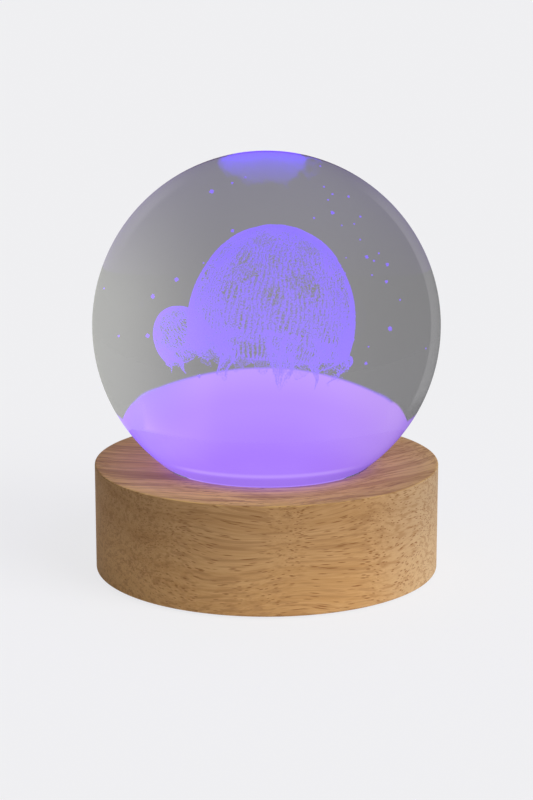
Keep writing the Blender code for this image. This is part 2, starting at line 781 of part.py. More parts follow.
def make_chip(resin):
    """The controller: a resin package with four bent legs along each side."""
    chip = block("controller_chip", CHIP_WIDTH, CHIP_LENGTH, CHIP_HEIGHT, resin)
    place(chip, CHIP_ANGLE, BOARD_RADIUS - CHIP_INSET, PARTS_FLOOR + CHIP_LIFT)
    for row in range(CHIP_LEG_ROWS):
        legs = prism(f"chip_legs_{row}", chip_leg_outline(), LEG_WIDTH)
        legs.parent = chip
        offset = (row - (CHIP_LEG_ROWS - 1) / 2) * LEG_PITCH
        legs.location = (0, offset + LEG_WIDTH / 2, -CHIP_LIFT)
        legs.rotation_euler = (pi / 2, 0, 0)
        add(chip, legs)
    return chip


def make_resistor(number, angle, ceramic):
    """A surface resistor, a little thicker at its two metal ends."""
    half = RESISTOR_LENGTH / 2
    inner = half - TERMINAL_LENGTH
    low = TERMINAL_STEP
    high = RESISTOR_HEIGHT - TERMINAL_STEP
    outline = [
        (-half, 0),
        (-inner, 0),
        (-inner, low),
        (inner, low),
        (inner, 0),
        (half, 0),
        (half, RESISTOR_HEIGHT),
        (inner, RESISTOR_HEIGHT),
        (inner, high),
        (-inner, high),
        (-inner, RESISTOR_HEIGHT),
        (-half, RESISTOR_HEIGHT),
    ]
    resistor = prism(f"resistor_{number}", outline, RESISTOR_WIDTH, ceramic)
    side = Vector((-sin(radians(angle)), cos(radians(angle)), 0)) * RESISTOR_WIDTH / 2
    middle = around(angle, BOARD_RADIUS - RESISTOR_INSET, PARTS_FLOOR)
    resistor.location = middle + side
    resistor.rotation_euler = (pi / 2, 0, radians(angle))
    return resistor


def make_capacitor(resin):
    """The capacitor that steadies the supply."""
    capacitor = block(
        "capacitor",
        CAPACITOR_LENGTH,
        CAPACITOR_WIDTH,
        CAPACITOR_HEIGHT,
        resin,
        CAPACITOR_EDGE,
    )
    return place(capacitor, CAPACITOR_ANGLE, BOARD_RADIUS - CAPACITOR_INSET, PARTS_FLOOR)


def make_port(steel, resin):
    """The power inlet: an oval steel shell, and the insert whose tongue stands inside it."""
    start = PORT_MOUTH - PORT_LENGTH
    outer = rounded_rectangle(PORT_WIDTH, PORT_HEIGHT, PORT_HEIGHT / 2)
    shell = outward_tool("port_shell", outer, start, PORT_MOUTH)
    shell.data.materials.append(steel)
    bore_width = PORT_WIDTH - 2 * PORT_WALL
    bore_height = PORT_HEIGHT - 2 * PORT_WALL
    inner = rounded_rectangle(bore_width, bore_height, bore_height / 2)
    bore_end = PORT_MOUTH + CUT_OVERRUN
    cut(shell, outward_tool("port_bore", inner, start - CUT_OVERRUN, bore_end))
    insert_height = bore_height - 2 * CLEARANCE
    block_outline = rounded_rectangle(
        bore_width - 2 * CLEARANCE, insert_height, insert_height / 2
    )
    insert = outward_tool("port_insert", block_outline, start, start + INSERT_LENGTH)
    insert.data.materials.append(resin)
    tongue_width = bore_width - 2 * TONGUE_MARGIN
    tongue = rounded_rectangle(tongue_width, TONGUE_THICKNESS, TONGUE_CORNER)
    tongue_start = start + INSERT_LENGTH / 2
    add(insert, outward_tool("tongue", tongue, tongue_start, PORT_MOUTH - TONGUE_SETBACK))


def button_profile():
    """Profile of the button along its own axis: stem, flange, barrel and shallow dome."""
    stem_end = PLUNGER_TIP + CLEARANCE
    flange_front = BUTTON_SHOULDER - CLEARANCE
    flange_back = flange_front - BUTTON_FLANGE_THICKNESS
    face = BASE_RADIUS + BUTTON_PROUD
    along = [
        (0, stem_end),
        (BUTTON_STEM_RADIUS, stem_end),
        (BUTTON_STEM_RADIUS, flange_back),
        (BUTTON_FLANGE_RADIUS, flange_back),
        (BUTTON_FLANGE_RADIUS, flange_front),
        (BUTTON_RADIUS, flange_front),
        (BUTTON_RADIUS, face - BUTTON_DOME),
        (DOME_RADIUS_SHARE * BUTTON_RADIUS, face - DOME_DROP_SHARE * BUTTON_DOME),
        (0, face),
    ]
    return [(radius, distance - BUTTON_SHOULDER) for radius, distance in along]


def make_button(plastic, resin, metal):
    """The push button, and the switch with its plunger behind it."""
    button = turned("push_button", button_profile(), MIDDLE_FACETS, plastic)
    point_outwards(button, BUTTON_ANGLE, BUTTON_SHOULDER, BUTTON_AXIS)
    middle = SWITCH_FRONT - SWITCH_DEPTH / 2
    body = block("switch_body", SWITCH_DEPTH, SWITCH_WIDTH, SWITCH_HEIGHT, resin, SWITCH_EDGE)
    place(body, BUTTON_ANGLE, middle, PARTS_FLOOR)
    inner_end = SWITCH_FRONT - PLUNGER_GRIP
    bore_start = inner_end - BUTTON_TRAVEL - CLEARANCE
    bore = plug(
        "plunger_bore",
        PLUNGER_RADIUS + CLEARANCE,
        SWITCH_FRONT + CUT_OVERRUN - bore_start,
        SMALL_FACETS,
    )
    cut(body, point_outwards(bore, BUTTON_ANGLE, bore_start, BUTTON_AXIS))
    plunger = plug("switch_plunger", PLUNGER_RADIUS, PLUNGER_TIP - inner_end, SMALL_FACETS)
    plunger.data.materials.append(metal)
    point_outwards(plunger, BUTTON_ANGLE, inner_end, BUTTON_AXIS)


def main():
    """Build the lamp, piece by piece."""
    clear_scene()
    glass = finish("clear_glass", (0.56, 0.56, 0.57), 0.0, 0.0, 1.0)
    engraved = finish("engraved_glass", (0.30, 0.23, 0.87), 0.5)
    wood = finish("oiled_wood", (0.49, 0.31, 0.16), 0.5)
    silicone = finish("clear_silicone", (0.80, 0.80, 0.82), 0.4)
    frosted = finish("frosted_lens", (0.86, 0.84, 0.92), 0.5)
    white = finish("white_plastic", (0.85, 0.85, 0.84), 0.45)
    black = finish("black_plastic", (0.03, 0.03, 0.03), 0.5)
    laminate = finish("white_laminate", (0.78, 0.79, 0.77), 0.4)
    package = finish("led_package", (0.83, 0.80, 0.72), 0.35)
    resin = finish("black_resin", (0.02, 0.02, 0.02), 0.45)
    ceramic = finish("resistor_ceramic", (0.05, 0.05, 0.06), 0.4)
    amber = finish("capacitor_resin", (0.55, 0.36, 0.08), 0.4)
    steel = finish("plated_steel", (0.60, 0.60, 0.60), 0.3, 1.0)
    rubber = finish("foot_rubber", (0.04, 0.04, 0.04), 0.8)

    ball = make_ball(glass)
    make_engraving(ball, engraved)
    make_seat_ring(silicone)
    make_base(wood)
    make_lens(frosted)
    make_cup(white)
    make_cover(black)
    make_board(laminate)
    for number, angle in enumerate(LED_ANGLES, 1):
        make_led(number, angle, package)
    make_chip(resin)
    for number, angle in enumerate(RESISTOR_ANGLES, 1):
        make_resistor(number, angle, ceramic)
    make_capacitor(amber)
    make_port(steel, resin)
    make_button(black, resin, steel)
    for number, angle in enumerate(COVER_SCREW_ANGLES, 1):
        make_cover_screw(number, angle, steel)
    for number, angle in enumerate(BOARD_SCREW_ANGLES, 1):
        make_board_screw(number, angle, steel)
    for number, angle in enumerate(FOOT_ANGLES, 1):
        make_foot(number, angle, rubber)


main()
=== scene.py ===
"""Looks of the crystal ball lamp: the glass and what glows in it, the wood, and the parts underneath.

Every surface is worked out with numpy, in metres, in the frame of the solids. Each sub-assembly is a
class that builds and dresses its own pieces.
"""

from __future__ import annotations

import logging
from dataclasses import dataclass
from enum import Enum
from typing import Any

import bmesh
import bpy
import numpy as np
from mathutils import Matrix, Vector
from numpy.typing import NDArray


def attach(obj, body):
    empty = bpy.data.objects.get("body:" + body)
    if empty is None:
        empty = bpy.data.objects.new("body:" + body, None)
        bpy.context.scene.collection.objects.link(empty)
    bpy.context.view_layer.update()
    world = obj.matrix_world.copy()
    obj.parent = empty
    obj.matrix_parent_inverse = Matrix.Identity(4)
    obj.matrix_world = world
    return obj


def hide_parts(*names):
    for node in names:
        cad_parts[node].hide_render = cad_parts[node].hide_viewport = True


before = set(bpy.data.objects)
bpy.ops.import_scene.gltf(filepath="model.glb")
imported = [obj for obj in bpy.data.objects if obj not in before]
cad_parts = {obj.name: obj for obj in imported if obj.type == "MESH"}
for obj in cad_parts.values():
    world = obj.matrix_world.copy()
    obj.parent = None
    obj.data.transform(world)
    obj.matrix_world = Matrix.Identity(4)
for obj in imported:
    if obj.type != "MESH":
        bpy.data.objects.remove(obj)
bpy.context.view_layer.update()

Array = NDArray[np.float64]
Triple = tuple[float, float, float]
Colour = Triple
Span = tuple[float, float]
Piece = bpy.types.Object
Material = bpy.types.Material
log = logging.getLogger("lamp")


class Body(Enum):
    """The bodies of the solids that pieces ride on."""

    BASE = "base"
    BALL = "ball"
    BUTTON = "power_button"


class Blend(Enum):
    """How two colours are put together."""

    MIX = "MIX"
    MULTIPLY = "MULTIPLY"


# Node trees

class Value:
    """What a node gives. Numbers can be added, taken away and multiplied as plain ones are."""

    def __init__(self, graph: Graph, socket: bpy.types.NodeSocket) -> None:
        """Keep the socket and the graph that it is in."""
        self.graph = graph
        self.socket = socket

    def __add__(self, other: Any) -> Value:
        """The sum with another number."""
        return self.graph.math("ADD", self, other)

    def __sub__(self, other: Any) -> Value:
        """What is left after another number is taken away."""
        return self.graph.math("SUBTRACT", self, other)

    def __rsub__(self, other: float) -> Value:
        """What is left of a plain number after this one is taken away."""
        return self.graph.math("SUBTRACT", other, self)

    def __mul__(self, other: Any) -> Value:
        """The product with another number."""
        return self.graph.math("MULTIPLY", self, other)

    def __abs__(self) -> Value:
        """The number without its sign."""
        return self.graph.math("ABSOLUTE", self)


class Graph:
    """The nodes of one material or of the world, added and linked by short calls."""

    def __init__(self, tree: bpy.types.NodeTree) -> None:
        """Take an empty node tree."""
        self.tree = tree

    def add(
        self, kind: str, inputs: dict[Any, Any] | None = None, output: int | str = 0, **settings: Any
    ) -> Value:
        """Add a node, set its settings and fill its inputs.

        Args:
            kind: The node's class name without its first part, such as TexNoise.
            inputs: Values for its inputs, by name or number.
            output: Name or number of the output that is wanted.
            settings: The node's own settings.

        Returns:
            What the node gives there.
        """
        node = self.tree.nodes.new("ShaderNode" + kind)
        for name, value in settings.items():
            setattr(node, name, value)
        for name, value in (inputs or {}).items():
            self.fill(node.inputs[name], value)
        return Value(self, node.outputs[output])

    def fill(self, socket: bpy.types.NodeSocket, value: Any) -> None:
        """Link a value to an input, or set a plain number, vector or colour there.

        Args:
            socket: The input.
            value: What goes into it.
        """
        if isinstance(value, Value):
            self.tree.links.new(value.socket, socket)
        elif socket.type == "RGBA":
            socket.default_value = (*value, 1.0)
        else:
            socket.default_value = value

    def end(self, shader: Value, kind: str = "OutputMaterial") -> None:
        """Send a shader to the tree's output."""
        last = self.tree.nodes.new("ShaderNode" + kind)
        self.tree.links.new(shader.socket, last.inputs["Surface"])

    def place(self) -> Value:
        """The point on the surface, in the frame's own metres."""
        return self.add("TexCoord", output="Object")

    def split(self, point: Value) -> list[Value]:
        """The three parts of a point."""
        node = self.add("SeparateXYZ", {0: point}).socket.node
        return [Value(self, socket) for socket in node.outputs]

    def math(self, operation: str, first: Any, second: Any = 0.0) -> Value:
        """The result of a Math node on one or two numbers."""
        return self.add("Math", {0: first, 1: second}, operation=operation)

    def shift(self, operation: str, first: Any, second: Any) -> Value:
        """The result of a Vector Math node on two vectors."""
        return self.add("VectorMath", {0: first, 1: second}, operation=operation)

    def length(self, first: Value, second: Value) -> Value:
        """The root of the sum of two numbers' squares."""
        return self.math("SQRT", first * first + second * second)

    def noise(self, where: Value, scale: float, detail: float = 2.0, rough: float = 0.5) -> Value:
        """Smooth noise between about 0.3 and 0.7.

        Args:
            where: The point.
            scale: How many lumps there are in one unit of the point.
            detail: How many finer layers are added.
            rough: How strong the finer layers are.

        Returns:
            The noise.
        """
        inputs = {"Vector": where, "Scale": scale, "Detail": detail, "Roughness": rough}
        return self.add("TexNoise", inputs)

    def ease(self, value: Any, low: Any, high: Any, start: Any = 0.0, end: Any = 1.0) -> Value:
        """A value carried smoothly from start, where it is low, to end, where it is high."""
        inputs = {"Value": value, 1: low, 2: high, 3: start, 4: end}
        return self.add("MapRange", inputs, interpolation_type="SMOOTHSTEP")

    def mix(self, share: Any, first: Any, second: Any, blend: Blend = Blend.MIX) -> Value:
        """Two colours put together, with a share of the second."""
        inputs = {0: share, 6: first, 7: second}
        return self.add("Mix", inputs, 2, data_type="RGBA", blend_type=blend.value)

    def tinted(self, colour: Any, tint: Any) -> Value:
        """A colour multiplied by another one."""
        return self.mix(1.0, colour, tint, Blend.MULTIPLY)

    def both(self, share: Value, first: Value, second: Value) -> Value:
        """Two shaders put together, with a share of the second."""
        return self.add("MixShader", {0: share, 1: first, 2: second})

    def clear(self, colour: Colour = (1.0, 1.0, 1.0)) -> Value:
        """A shader that lets light through, tinted by a colour."""
        return self.add("BsdfTransparent", {"Color": colour})

    def bump(self, height: Value, depth: float, strength: float) -> Value:
        """The normal of a surface that a height from 0 to 1 lifts by up to a depth in metres."""
        return self.add("Bump", {"Height": height, "Distance": depth, "Strength": strength})


def new_material(name: str) -> tuple[Material, Graph]:
    """Make a material with an empty tree.

    Args:
        name: The material's name.

    Returns:
        The material and its graph.
    """
    material = bpy.data.materials.new(name)
    material.use_nodes = True
    material.node_tree.nodes.clear()
    return material, Graph(material.node_tree)


def dimmed(colour: Colour, share: float) -> Colour:
    """A plain colour with a share of its brightness."""
    return tuple(share * part for part in colour)


# Finishes

@dataclass(frozen=True)
class ClearGlass:
    """Solid optical glass that takes a share of the light at each surface and mirrors a little.

    Its sides, parts and feet are shares of the ball's radius from its centre.
    """

    bright: Colour = (0.925, 0.93, 0.895)
    middle: Colour = (0.565, 0.563, 0.563)
    dark: Colour = (0.50, 0.498, 0.502)
    cool: Colour = (0.49, 0.48, 0.565)
    refraction: float = 1.5
    mirror: float = 0.5
    shadow: float = 0.62
    # share of white in the painted reflection along the edge
    band: float = 0.30
    # painted light and shade: where the tint turns from pale to dark across the ball
    pale_side: Span = (-1.0, -0.2)
    dark_side: Span = (0.1, 0.8)
    cool_part: Span = (0.2, 1.0)
    # slant, side and height of the painted reflection on the darker side, then of the one near the top
    painted_edge_slant: Span = (0.655, 0.69)
    painted_edge_side: Span = (0.45, 0.75)
    painted_edge_foot: Span = (-0.42, -0.30)
    painted_top_edge_slant: Span = (0.60, 0.69)
    painted_top_edge_side: Span = (-0.35, -0.7)
    painted_top_edge_foot: Span = (0.35, 0.7)

    def make(self, centre: float, radius: float) -> Material:
        """The glass's tint runs from a pale side to a darker one, as painted light and shade, and is
        cooler near the top.

        A pale band, a painted reflection, follows the edge where the glass is seen very slantwise: on the
        darker side down to the glow, and near the top on the pale side.

        Args:
            centre: Height of the ball's centre.
            radius: The ball's radius.

        Returns:
            The material.
        """
        material, g = new_material("clear_glass")
        x, _, z = g.split(g.place())
        sides = (self.pale_side, self.dark_side, self.painted_edge_side, self.painted_top_edge_side)
        pale, dark, beside, opposite = ([part * radius for part in side] for side in sides)
        heights = (self.cool_part, self.painted_edge_foot, self.painted_top_edge_foot)
        cool, foot, start = ([centre + part * radius for part in height] for height in heights)
        # painted light and shade: the tint is paler towards -X and darker towards +X
        tint = g.mix(g.ease(x, *pale), self.bright, self.middle)
        tint = g.mix(g.ease(x, *dark), tint, self.dark)
        tint = g.mix(g.ease(z, *cool, 0.0, 0.7), tint, self.cool)
        slant = g.add("LayerWeight", {"Blend": 0.5}, "Facing")
        # painted reflection: a pale band where the glass is seen slantwise, at +X down to the glow and at
        # -X near the top
        band = g.ease(slant, *self.painted_edge_slant) * g.ease(x, *beside) * g.ease(z, *foot)
        upper = g.ease(slant, *self.painted_top_edge_slant) * g.ease(x, *opposite) * g.ease(z, *start)
        paler = g.mix(g.math("MAXIMUM", band, upper) * self.band, tint, (1.0, 1.0, 1.0))
        bent = g.add("BsdfRefraction", {"Color": paler, "Roughness": 0.0, "IOR": self.refraction})
        mirrored = g.add("BsdfGlossy", {"Color": g.tinted(tint, tint), "Roughness": 0.0})
        glass = g.both(g.add("Fresnel", {"IOR": self.refraction}) * self.mirror, bent, mirrored)
        passed = g.clear((self.shadow, self.shadow, self.shadow))
        g.end(g.both(g.add("LightPath", output="Is Shadow Ray"), glass, passed))
        return material


@dataclass(frozen=True)
class Glow:
    """Light lying on the ball's lower surface: lilac above, violet at its foot."""

    rim: Colour = (0.97, 0.61, 1.88)
    middle: Colour = (0.85, 0.495, 1.86)
    foot: Colour = (0.74, 0.385, 1.83)
    rim_to_middle: Span = (0.0, 0.0032)
    middle_to_foot: Span = (0.0030, 0.0068)

    def coloured(self, g: Graph, place: Value, level: Value, paler: Value, deeper: Value) -> Value:
        """The colour by how far below the rim a point lies, evened out from side to side.

        Args:
            g: The material's graph.
            place: The point.
            level: How far below the rim it lies, in metres.
            paler: How far a point counts to the side where the glass is pale, 0 to 1.
            deeper: How far it counts to the side where the glass is dark.

        Returns:
            The colour.
        """
        colour = g.mix(g.ease(level, *self.rim_to_middle), self.rim, self.middle)
        colour = g.mix(g.ease(level, *self.middle_to_foot), colour, self.foot)
        cloud = g.ease(g.noise(place, 60.0), 0.35, 0.65, 0.0, 0.16)
        colour = g.mix(cloud, colour, self.middle)
        speck = g.add("TexVoronoi", {"Vector": place, "Scale": 210.0})
        colour = g.mix(g.ease(speck, 0.035, 0.015, 0.0, 0.3), colour, self.foot)
        even = g.mix(paler, (1.0, 1.0, 1.0), (0.60, 0.63, 0.94))
        return g.tinted(colour, g.mix(deeper, even, (1.1, 1.1, 1.0)))

    def sinking(self, g: Graph, x: Value, reach: float, depth: Any) -> Value:
        """How far the rim sinks: a depth times the square of the way to a side, up to a reach."""
        aside = x * (1 / reach)
        return g.math("MINIMUM", aside * aside, 1.0) * depth

    def lit(self, g: Graph, colour: Value) -> Value:
        """A dull surface that sends out a colour.

        Args:
            g: The material's graph.
            colour: The colour.

        Returns:
            The shader.
        """
        inputs = {
            "Base Color": (0.008, 0.005, 0.016),
            "Roughness": 0.6,
            "Specular IOR Level": 0.0,
            "Emission Color": colour,
            "Emission Strength": 1.0,
        }
        return g.add("BsdfPrincipled", inputs)


@dataclass(frozen=True)
class FarGlow(Glow):
    """The glow on the far side, seen from inside the glass alone, so its outer side is clear."""

    edge: Colour = (0.66, 0.46, 1.75)
    source: Colour = (3.4, 0.3, 44.0)
    sink_reach: float = 0.0088
    sink_turn: Span = (-0.002, 0.002)
    sink_depths: Span = (0.00088, 0.00116)
    far_side: Span = (0.025, 0.032)
    pale_zone: tuple[float, ...] = (-0.005, -0.0105, -0.021, -0.0125)
    dark_zone: tuple[float, ...] = (0.002, 0.0085, 0.021, 0.0125)
    edge_width: float = 0.00022
    fade: float = 0.00012
    ragged: float = 0.0052
    lens_edge: Span = (0.0004, -0.0008)
    chip_glow: Span = (0.002, 0.011)

    def make(self, rim_height: float, foot_height: float, spots: float) -> Material:
        """Its rim sinks a little to both sides, and the bright lens is its middle.

        Args:
            rim_height: Height of the glow's rim.
            foot_height: Height of the brightest part's edge.
            spots: How far the light chips stand from the middle, along X and along Y.

        Returns:
            The material.
        """
        material, g = new_material("violet_glow")
        material.use_backface_culling = True
        place = g.place()
        x, y, z = g.split(place)
        depth = g.ease(x, *self.sink_turn, *self.sink_depths)
        level = rim_height - z - self.sinking(g, x, self.sink_reach, depth)
        far = g.ease(abs(y), *self.far_side)
        zones = (self.pale_zone, self.dark_zone)
        paler, deeper = (g.ease(x, *zone[:2]) * g.ease(x, *zone[2:]) * far for zone in zones)
        colour = self.coloured(g, place, level, paler, deeper)
        colour = g.mix(g.ease(level, self.edge_width, 0.0), colour, self.edge)
        ragged = (g.noise(place, 150.0, 3.0) - 0.5) * self.ragged
        lens = g.ease(z + ragged, *(foot_height + part for part in self.lens_edge))
        lens *= g.ease(g.length(abs(x) - spots, abs(y) - spots), *self.chip_glow, 1.0, 0.62)
        colour = g.mix(lens, colour, self.source)
        faded = g.ease(level, -self.fade, self.fade, 1.0, 0.0)
        outside = g.math("MAXIMUM", g.add("NewGeometry", output="Backfacing"), faded)
        g.end(g.both(outside, self.lit(g, colour), g.clear()))
        return material


@dataclass(frozen=True)
class NearGlow(Glow):
    """The glow on the near side, with a bright line above the wood. Its inner side is clear.

    Beyond the reach on both sides its upper edge falls along a curve, so that it meets the far
    side's rim there.
    """

    reach: float = 0.0277
    slope: float = 0.6
    curve: float = 300.0
    lopsided: float = 0.0004
    sink_reach: float = 0.026
    sink_depth: float = 0.0040
    sink_side: Span = (0.008, 0.020)
    top_level: float = 0.0053
    top_fade: float = 0.0012
    pale_side: Span = (-0.010, -0.036)
    dark_side: Span = (0.004, 0.030)
    horn_tone: Span = (0.0285, 0.0335)
    horn_edge: float = 0.0010
    horn_start: Span = (-0.0018, -0.0002)
    horn_side: Span = (0.004, 0.008)
    line_width: Span = (0.0009, 0.0001)
    line_reach: Span = (0.023, 0.014)
    line_foot: Span = (-0.0003, -0.0014)

    def make(self, top: float, corner: float, crescent: float) -> Material:
        """Its colour changes from the top downwards, and is deeper below the bright line.

        Args:
            top: Height where the near side's glow begins.
            corner: Height of the falling edge at the reach.
            crescent: Height of the bright line.

        Returns:
            The material.
        """
        material, g = new_material("violet_foot")
        material.use_backface_culling = True
        place = g.place()
        x, y, z = g.split(place)
        sunk = self.sinking(g, x, self.sink_reach, self.sink_depth) * g.ease(abs(y), *self.sink_side)
        level = (top - z) * 0.30 + (self.top_level - sunk)
        colour = self.coloured(g, place, level, g.ease(x, *self.pale_side), g.ease(x, *self.dark_side))
        colour = g.mix(g.ease(abs(x), *self.horn_tone, 0.0, 0.6), colour, self.foot)
        line = g.ease(abs(z - crescent), *self.line_width, 0.0, 0.75)
        colour = g.mix(line * g.ease(abs(x), *self.line_reach), colour, self.rim)
        below = g.ease(z, *(crescent + part for part in self.line_foot), 0.0, 0.7)
        colour = g.mix(below, colour, dimmed(self.foot, 0.84))
        beyond = abs(x + self.lopsided) - (self.reach + self.lopsided)
        beyond = g.math("MAXIMUM", beyond, 0.0)
        falling = corner - beyond * (beyond * self.curve + self.slope)
        horn = g.ease(falling - z, 0.0, self.horn_edge) * g.ease(abs(x) - self.reach, *self.horn_start)
        horn *= g.ease(abs(y), *self.horn_side)
        seen = g.math("MAXIMUM", g.ease(z, top - self.top_fade, top, 1.0, 0.0), horn)
        seen *= 1.0 - g.add("NewGeometry", output="Backfacing")
        g.end(g.both(seen, g.clear(), self.lit(g, colour)))
        return material


@dataclass(frozen=True)
class Engraving:
    """Fine cracks in the glass that catch the violet light from below."""

    near: Colour = (0.59, 0.40, 1.80)
    far: Colour = (0.49, 0.33, 1.76)

    def make(self, name: str, low: float, high: float) -> Material:
        """The light fades a little with height and varies from place to place.

        Args:
            name: The material's name.
            low: Height where the light is strongest.
            high: Height where it is weakest.

        Returns:
            The material.
        """
        material, g = new_material(name)
        place = g.place()
        colour = g.mix(g.ease(g.split(place)[2], low, high), self.near, self.far)
        patch = g.ease(g.noise(place, 160.0, 1.0), 0.38, 0.62)
        inputs = {
            "Base Color": (0.05, 0.04, 0.12),
            "Roughness": 0.5,
            "Emission Color": g.mix(patch * 0.35, colour, self.near),
            "Emission Strength": 1.0,
        }
        g.end(g.add("BsdfPrincipled", inputs))
        return material


@dataclass(frozen=True)
class OiledWood:
    """Straight pale hardwood with open pores, solid through the piece.

    The sizes of bands, streaks, fibres and pores are lengths along the grain and widths across
    it, in millimetres.
    """

    light: Colour = (0.625, 0.378, 0.166)
    deep: Colour = (0.475, 0.258, 0.096)
    # painted light: the paler colour of the lit +X side
    pale: Colour = (0.56, 0.405, 0.235)
    streak: Colour = (0.35, 0.178, 0.068)
    pore: Colour = (0.235, 0.093, 0.028)
    # painted light: brightens and warms the top face
    painted_top_light: Colour = (1.46, 1.62, 1.10)
    # painted light and shade: multiplier near the bottom (lighter) and at the top (darker)
    low: Colour = (1.14, 1.15, 1.20)
    high: Colour = (0.88, 0.88, 0.95)
    spill: Colour = (0.015, 0.0, 0.25)
    grain_turn: float = 14.0
    bow: float = 0.0095
    sway: float = 9.0
    heart: Span = (34.0, 62.0)
    bands: Span = (60.0, 13.0)
    fibres: Span = (8.0, 0.30)
    broad_streaks: Span = (50.0, 2.6)
    fine_streaks: Span = (24.0, 0.75)
    pore_patches: Span = (9.0, 5.0)
    long_pores: Span = (9.0, 0.56)
    short_pores: Span = (5.5, 0.48)
    pale_side: Span = (0.018, 0.041)
    pore_side: Span = (-0.034, 0.0)
    painted_top_light_side: Span = (0.0, 0.035)
    pore_depth: float = 0.00006
    spill_reach: float = 0.0115
    spill_lap: float = 0.001

    def grain(self, g: Graph) -> tuple[Value, Value, Value]:
        """The point in millimetres along, across and above the grain.

        The grain runs level, turned about Z, and bows: what lies across it shifts by the square
        of the way along it. A slow noise bends it a little more.

        Args:
            g: The material's graph.

        Returns:
            The ways along, across and above.
        """
        turned = {"Rotation": (0.0, 0.0, -np.radians(self.grain_turn)), "Scale": (1000.0, 1000.0, 1000.0)}
        board = g.add("Mapping", {"Vector": g.place(), **turned})
        sway = g.add("TexNoise", {"Vector": board, "Scale": 0.035, "Detail": 1.0}, 1)
        sway = g.shift("SUBTRACT", sway, (0.5, 0.5, 0.5))
        sway = g.shift("MULTIPLY", sway, (0.0, self.sway, self.sway))
        along, across, above = g.split(g.shift("ADD", board, sway))
        return along, across - along * along * self.bow, above

    def stretched(self, g: Graph, grain: tuple[Value, Value, Value], size: Span) -> Value:
        """The point counted in lengths along the grain and widths across it."""
        scales = (1 / size[0], 1 / size[1], 1 / size[1])
        return g.add("CombineXYZ", dict(enumerate(part * scale for part, scale in zip(grain, scales))))

    def pores(self, g: Graph, grain: tuple[Value, Value, Value], size: Span) -> Value:
        """How far a point lies inside a pore, 0 to 1: long cells round scattered centres.

        Args:
            g: The material's graph.
            grain: The point along, across and above the grain.
            size: Length and width of a cell.

        Returns:
            The share.
        """
        found = g.add("TexVoronoi", {"Vector": self.stretched(g, grain, size), "Scale": 1.0})
        few = g.ease(g.noise(self.stretched(g, grain, self.pore_patches), 1.0), 0.36, 0.64, 0.2, 0.3)
        return g.add("MapRange", {"Value": found, 1: few * 0.5, 2: few, 3: 1.0, 4: 0.0})

    def make(self, seat_radius: float, top: float) -> Material:
        """Growth bands, fibres and pores along one grain, painted light and shade, and violet light spilt
        by the ball.

        Args:
            seat_radius: Radius of the line where ball and wood meet.
            top: Height of the wood's top.

        Returns:
            The material.
        """
        material, g = new_material("oiled_wood")
        grain = self.grain(g)
        _, across, above = grain
        ring = g.length(across + self.heart[0], above - self.heart[1])
        band = g.add("TexNoise", {"W": ring, "Scale": 0.33, "Detail": 3.0}, noise_dimensions="1D")
        wide = g.noise(self.stretched(g, grain, self.bands), 1.0, 1.0)
        fibre = g.noise(self.stretched(g, grain, self.fibres), 1.0, 3.0, 0.6)
        tone = g.ease(band, 0.3, 0.7, 0.0, 0.28) + g.ease(wide, 0.3, 0.7, 0.0, 0.4)
        colour = g.mix(tone + g.ease(fibre, 0.3, 0.7, 0.0, 0.42), self.light, self.deep)
        east, _, level = g.split(g.place())
        on_top = g.ease(level, top - 0.0002, top - 0.00002)
        # painted light: the wood turns paler towards +X, the lit side, less so on the top face
        paler = g.ease(east, *self.pale_side, 0.0, 0.75) * g.ease(on_top, 0.0, 1.0, 1.0, 0.3)
        colour = g.mix(paler, colour, self.pale)
        # painted light: the top face is brightened and warmed, fully on the -X half and a little under
        # half as much at +X
        painted_top_light = on_top * g.ease(east, *self.painted_top_light_side, 1.0, 0.45)
        colour = g.mix(painted_top_light, colour, g.tinted(colour, self.painted_top_light))
        broad = g.noise(self.stretched(g, grain, self.broad_streaks), 1.0)
        colour = g.mix(g.ease(broad, 0.48, 0.60, 0.0, 0.45) * on_top, colour, self.streak)
        fine = g.noise(self.stretched(g, grain, self.fine_streaks), 1.0)
        colour = g.mix(g.ease(fine, 0.47, 0.66, 0.0, 0.5), colour, self.streak)
        long, short = (self.pores(g, grain, size) for size in (self.long_pores, self.short_pores))
        pore = g.math("MAXIMUM", long, short)
        colour = g.mix(pore * g.ease(east, *self.pore_side, 0.46, 0.80), colour, self.pore)
        # painted light and shade: lighter near the bottom, darker towards the top
        colour = g.tinted(colour, g.mix(g.ease(level, 0.002, top - 0.001), self.low, self.high))
        inputs = {
            "Base Color": colour,
            "Roughness": fibre * 0.2 + 0.5,
            "Specular IOR Level": 0.06,
            "Normal": g.bump(fibre * 0.25 - pore, self.pore_depth, 0.5),
            "Emission Color": self.lit(g, seat_radius, top),
            "Emission Strength": 1.0,
        }
        g.end(g.add("BsdfPrincipled", inputs))
        return material

    def lit(self, g: Graph, seat_radius: float, top: float) -> Value:
        """Violet light on the top face, which fades away from the ball, sooner to the sides.

        Args:
            g: The material's graph.
            seat_radius: Radius of the line where ball and wood meet.
            top: Height of the wood's top.

        Returns:
            The light's colour.
        """
        x, y, z = g.split(g.place())
        near = g.ease(g.length(x * 1.17, y), seat_radius + self.spill_reach, seat_radius - self.spill_lap)
        on_top = g.ease(z, top - 0.0025, top - 0.0005)
        return g.mix(near * near * on_top, (0.0, 0.0, 0.0), self.spill)


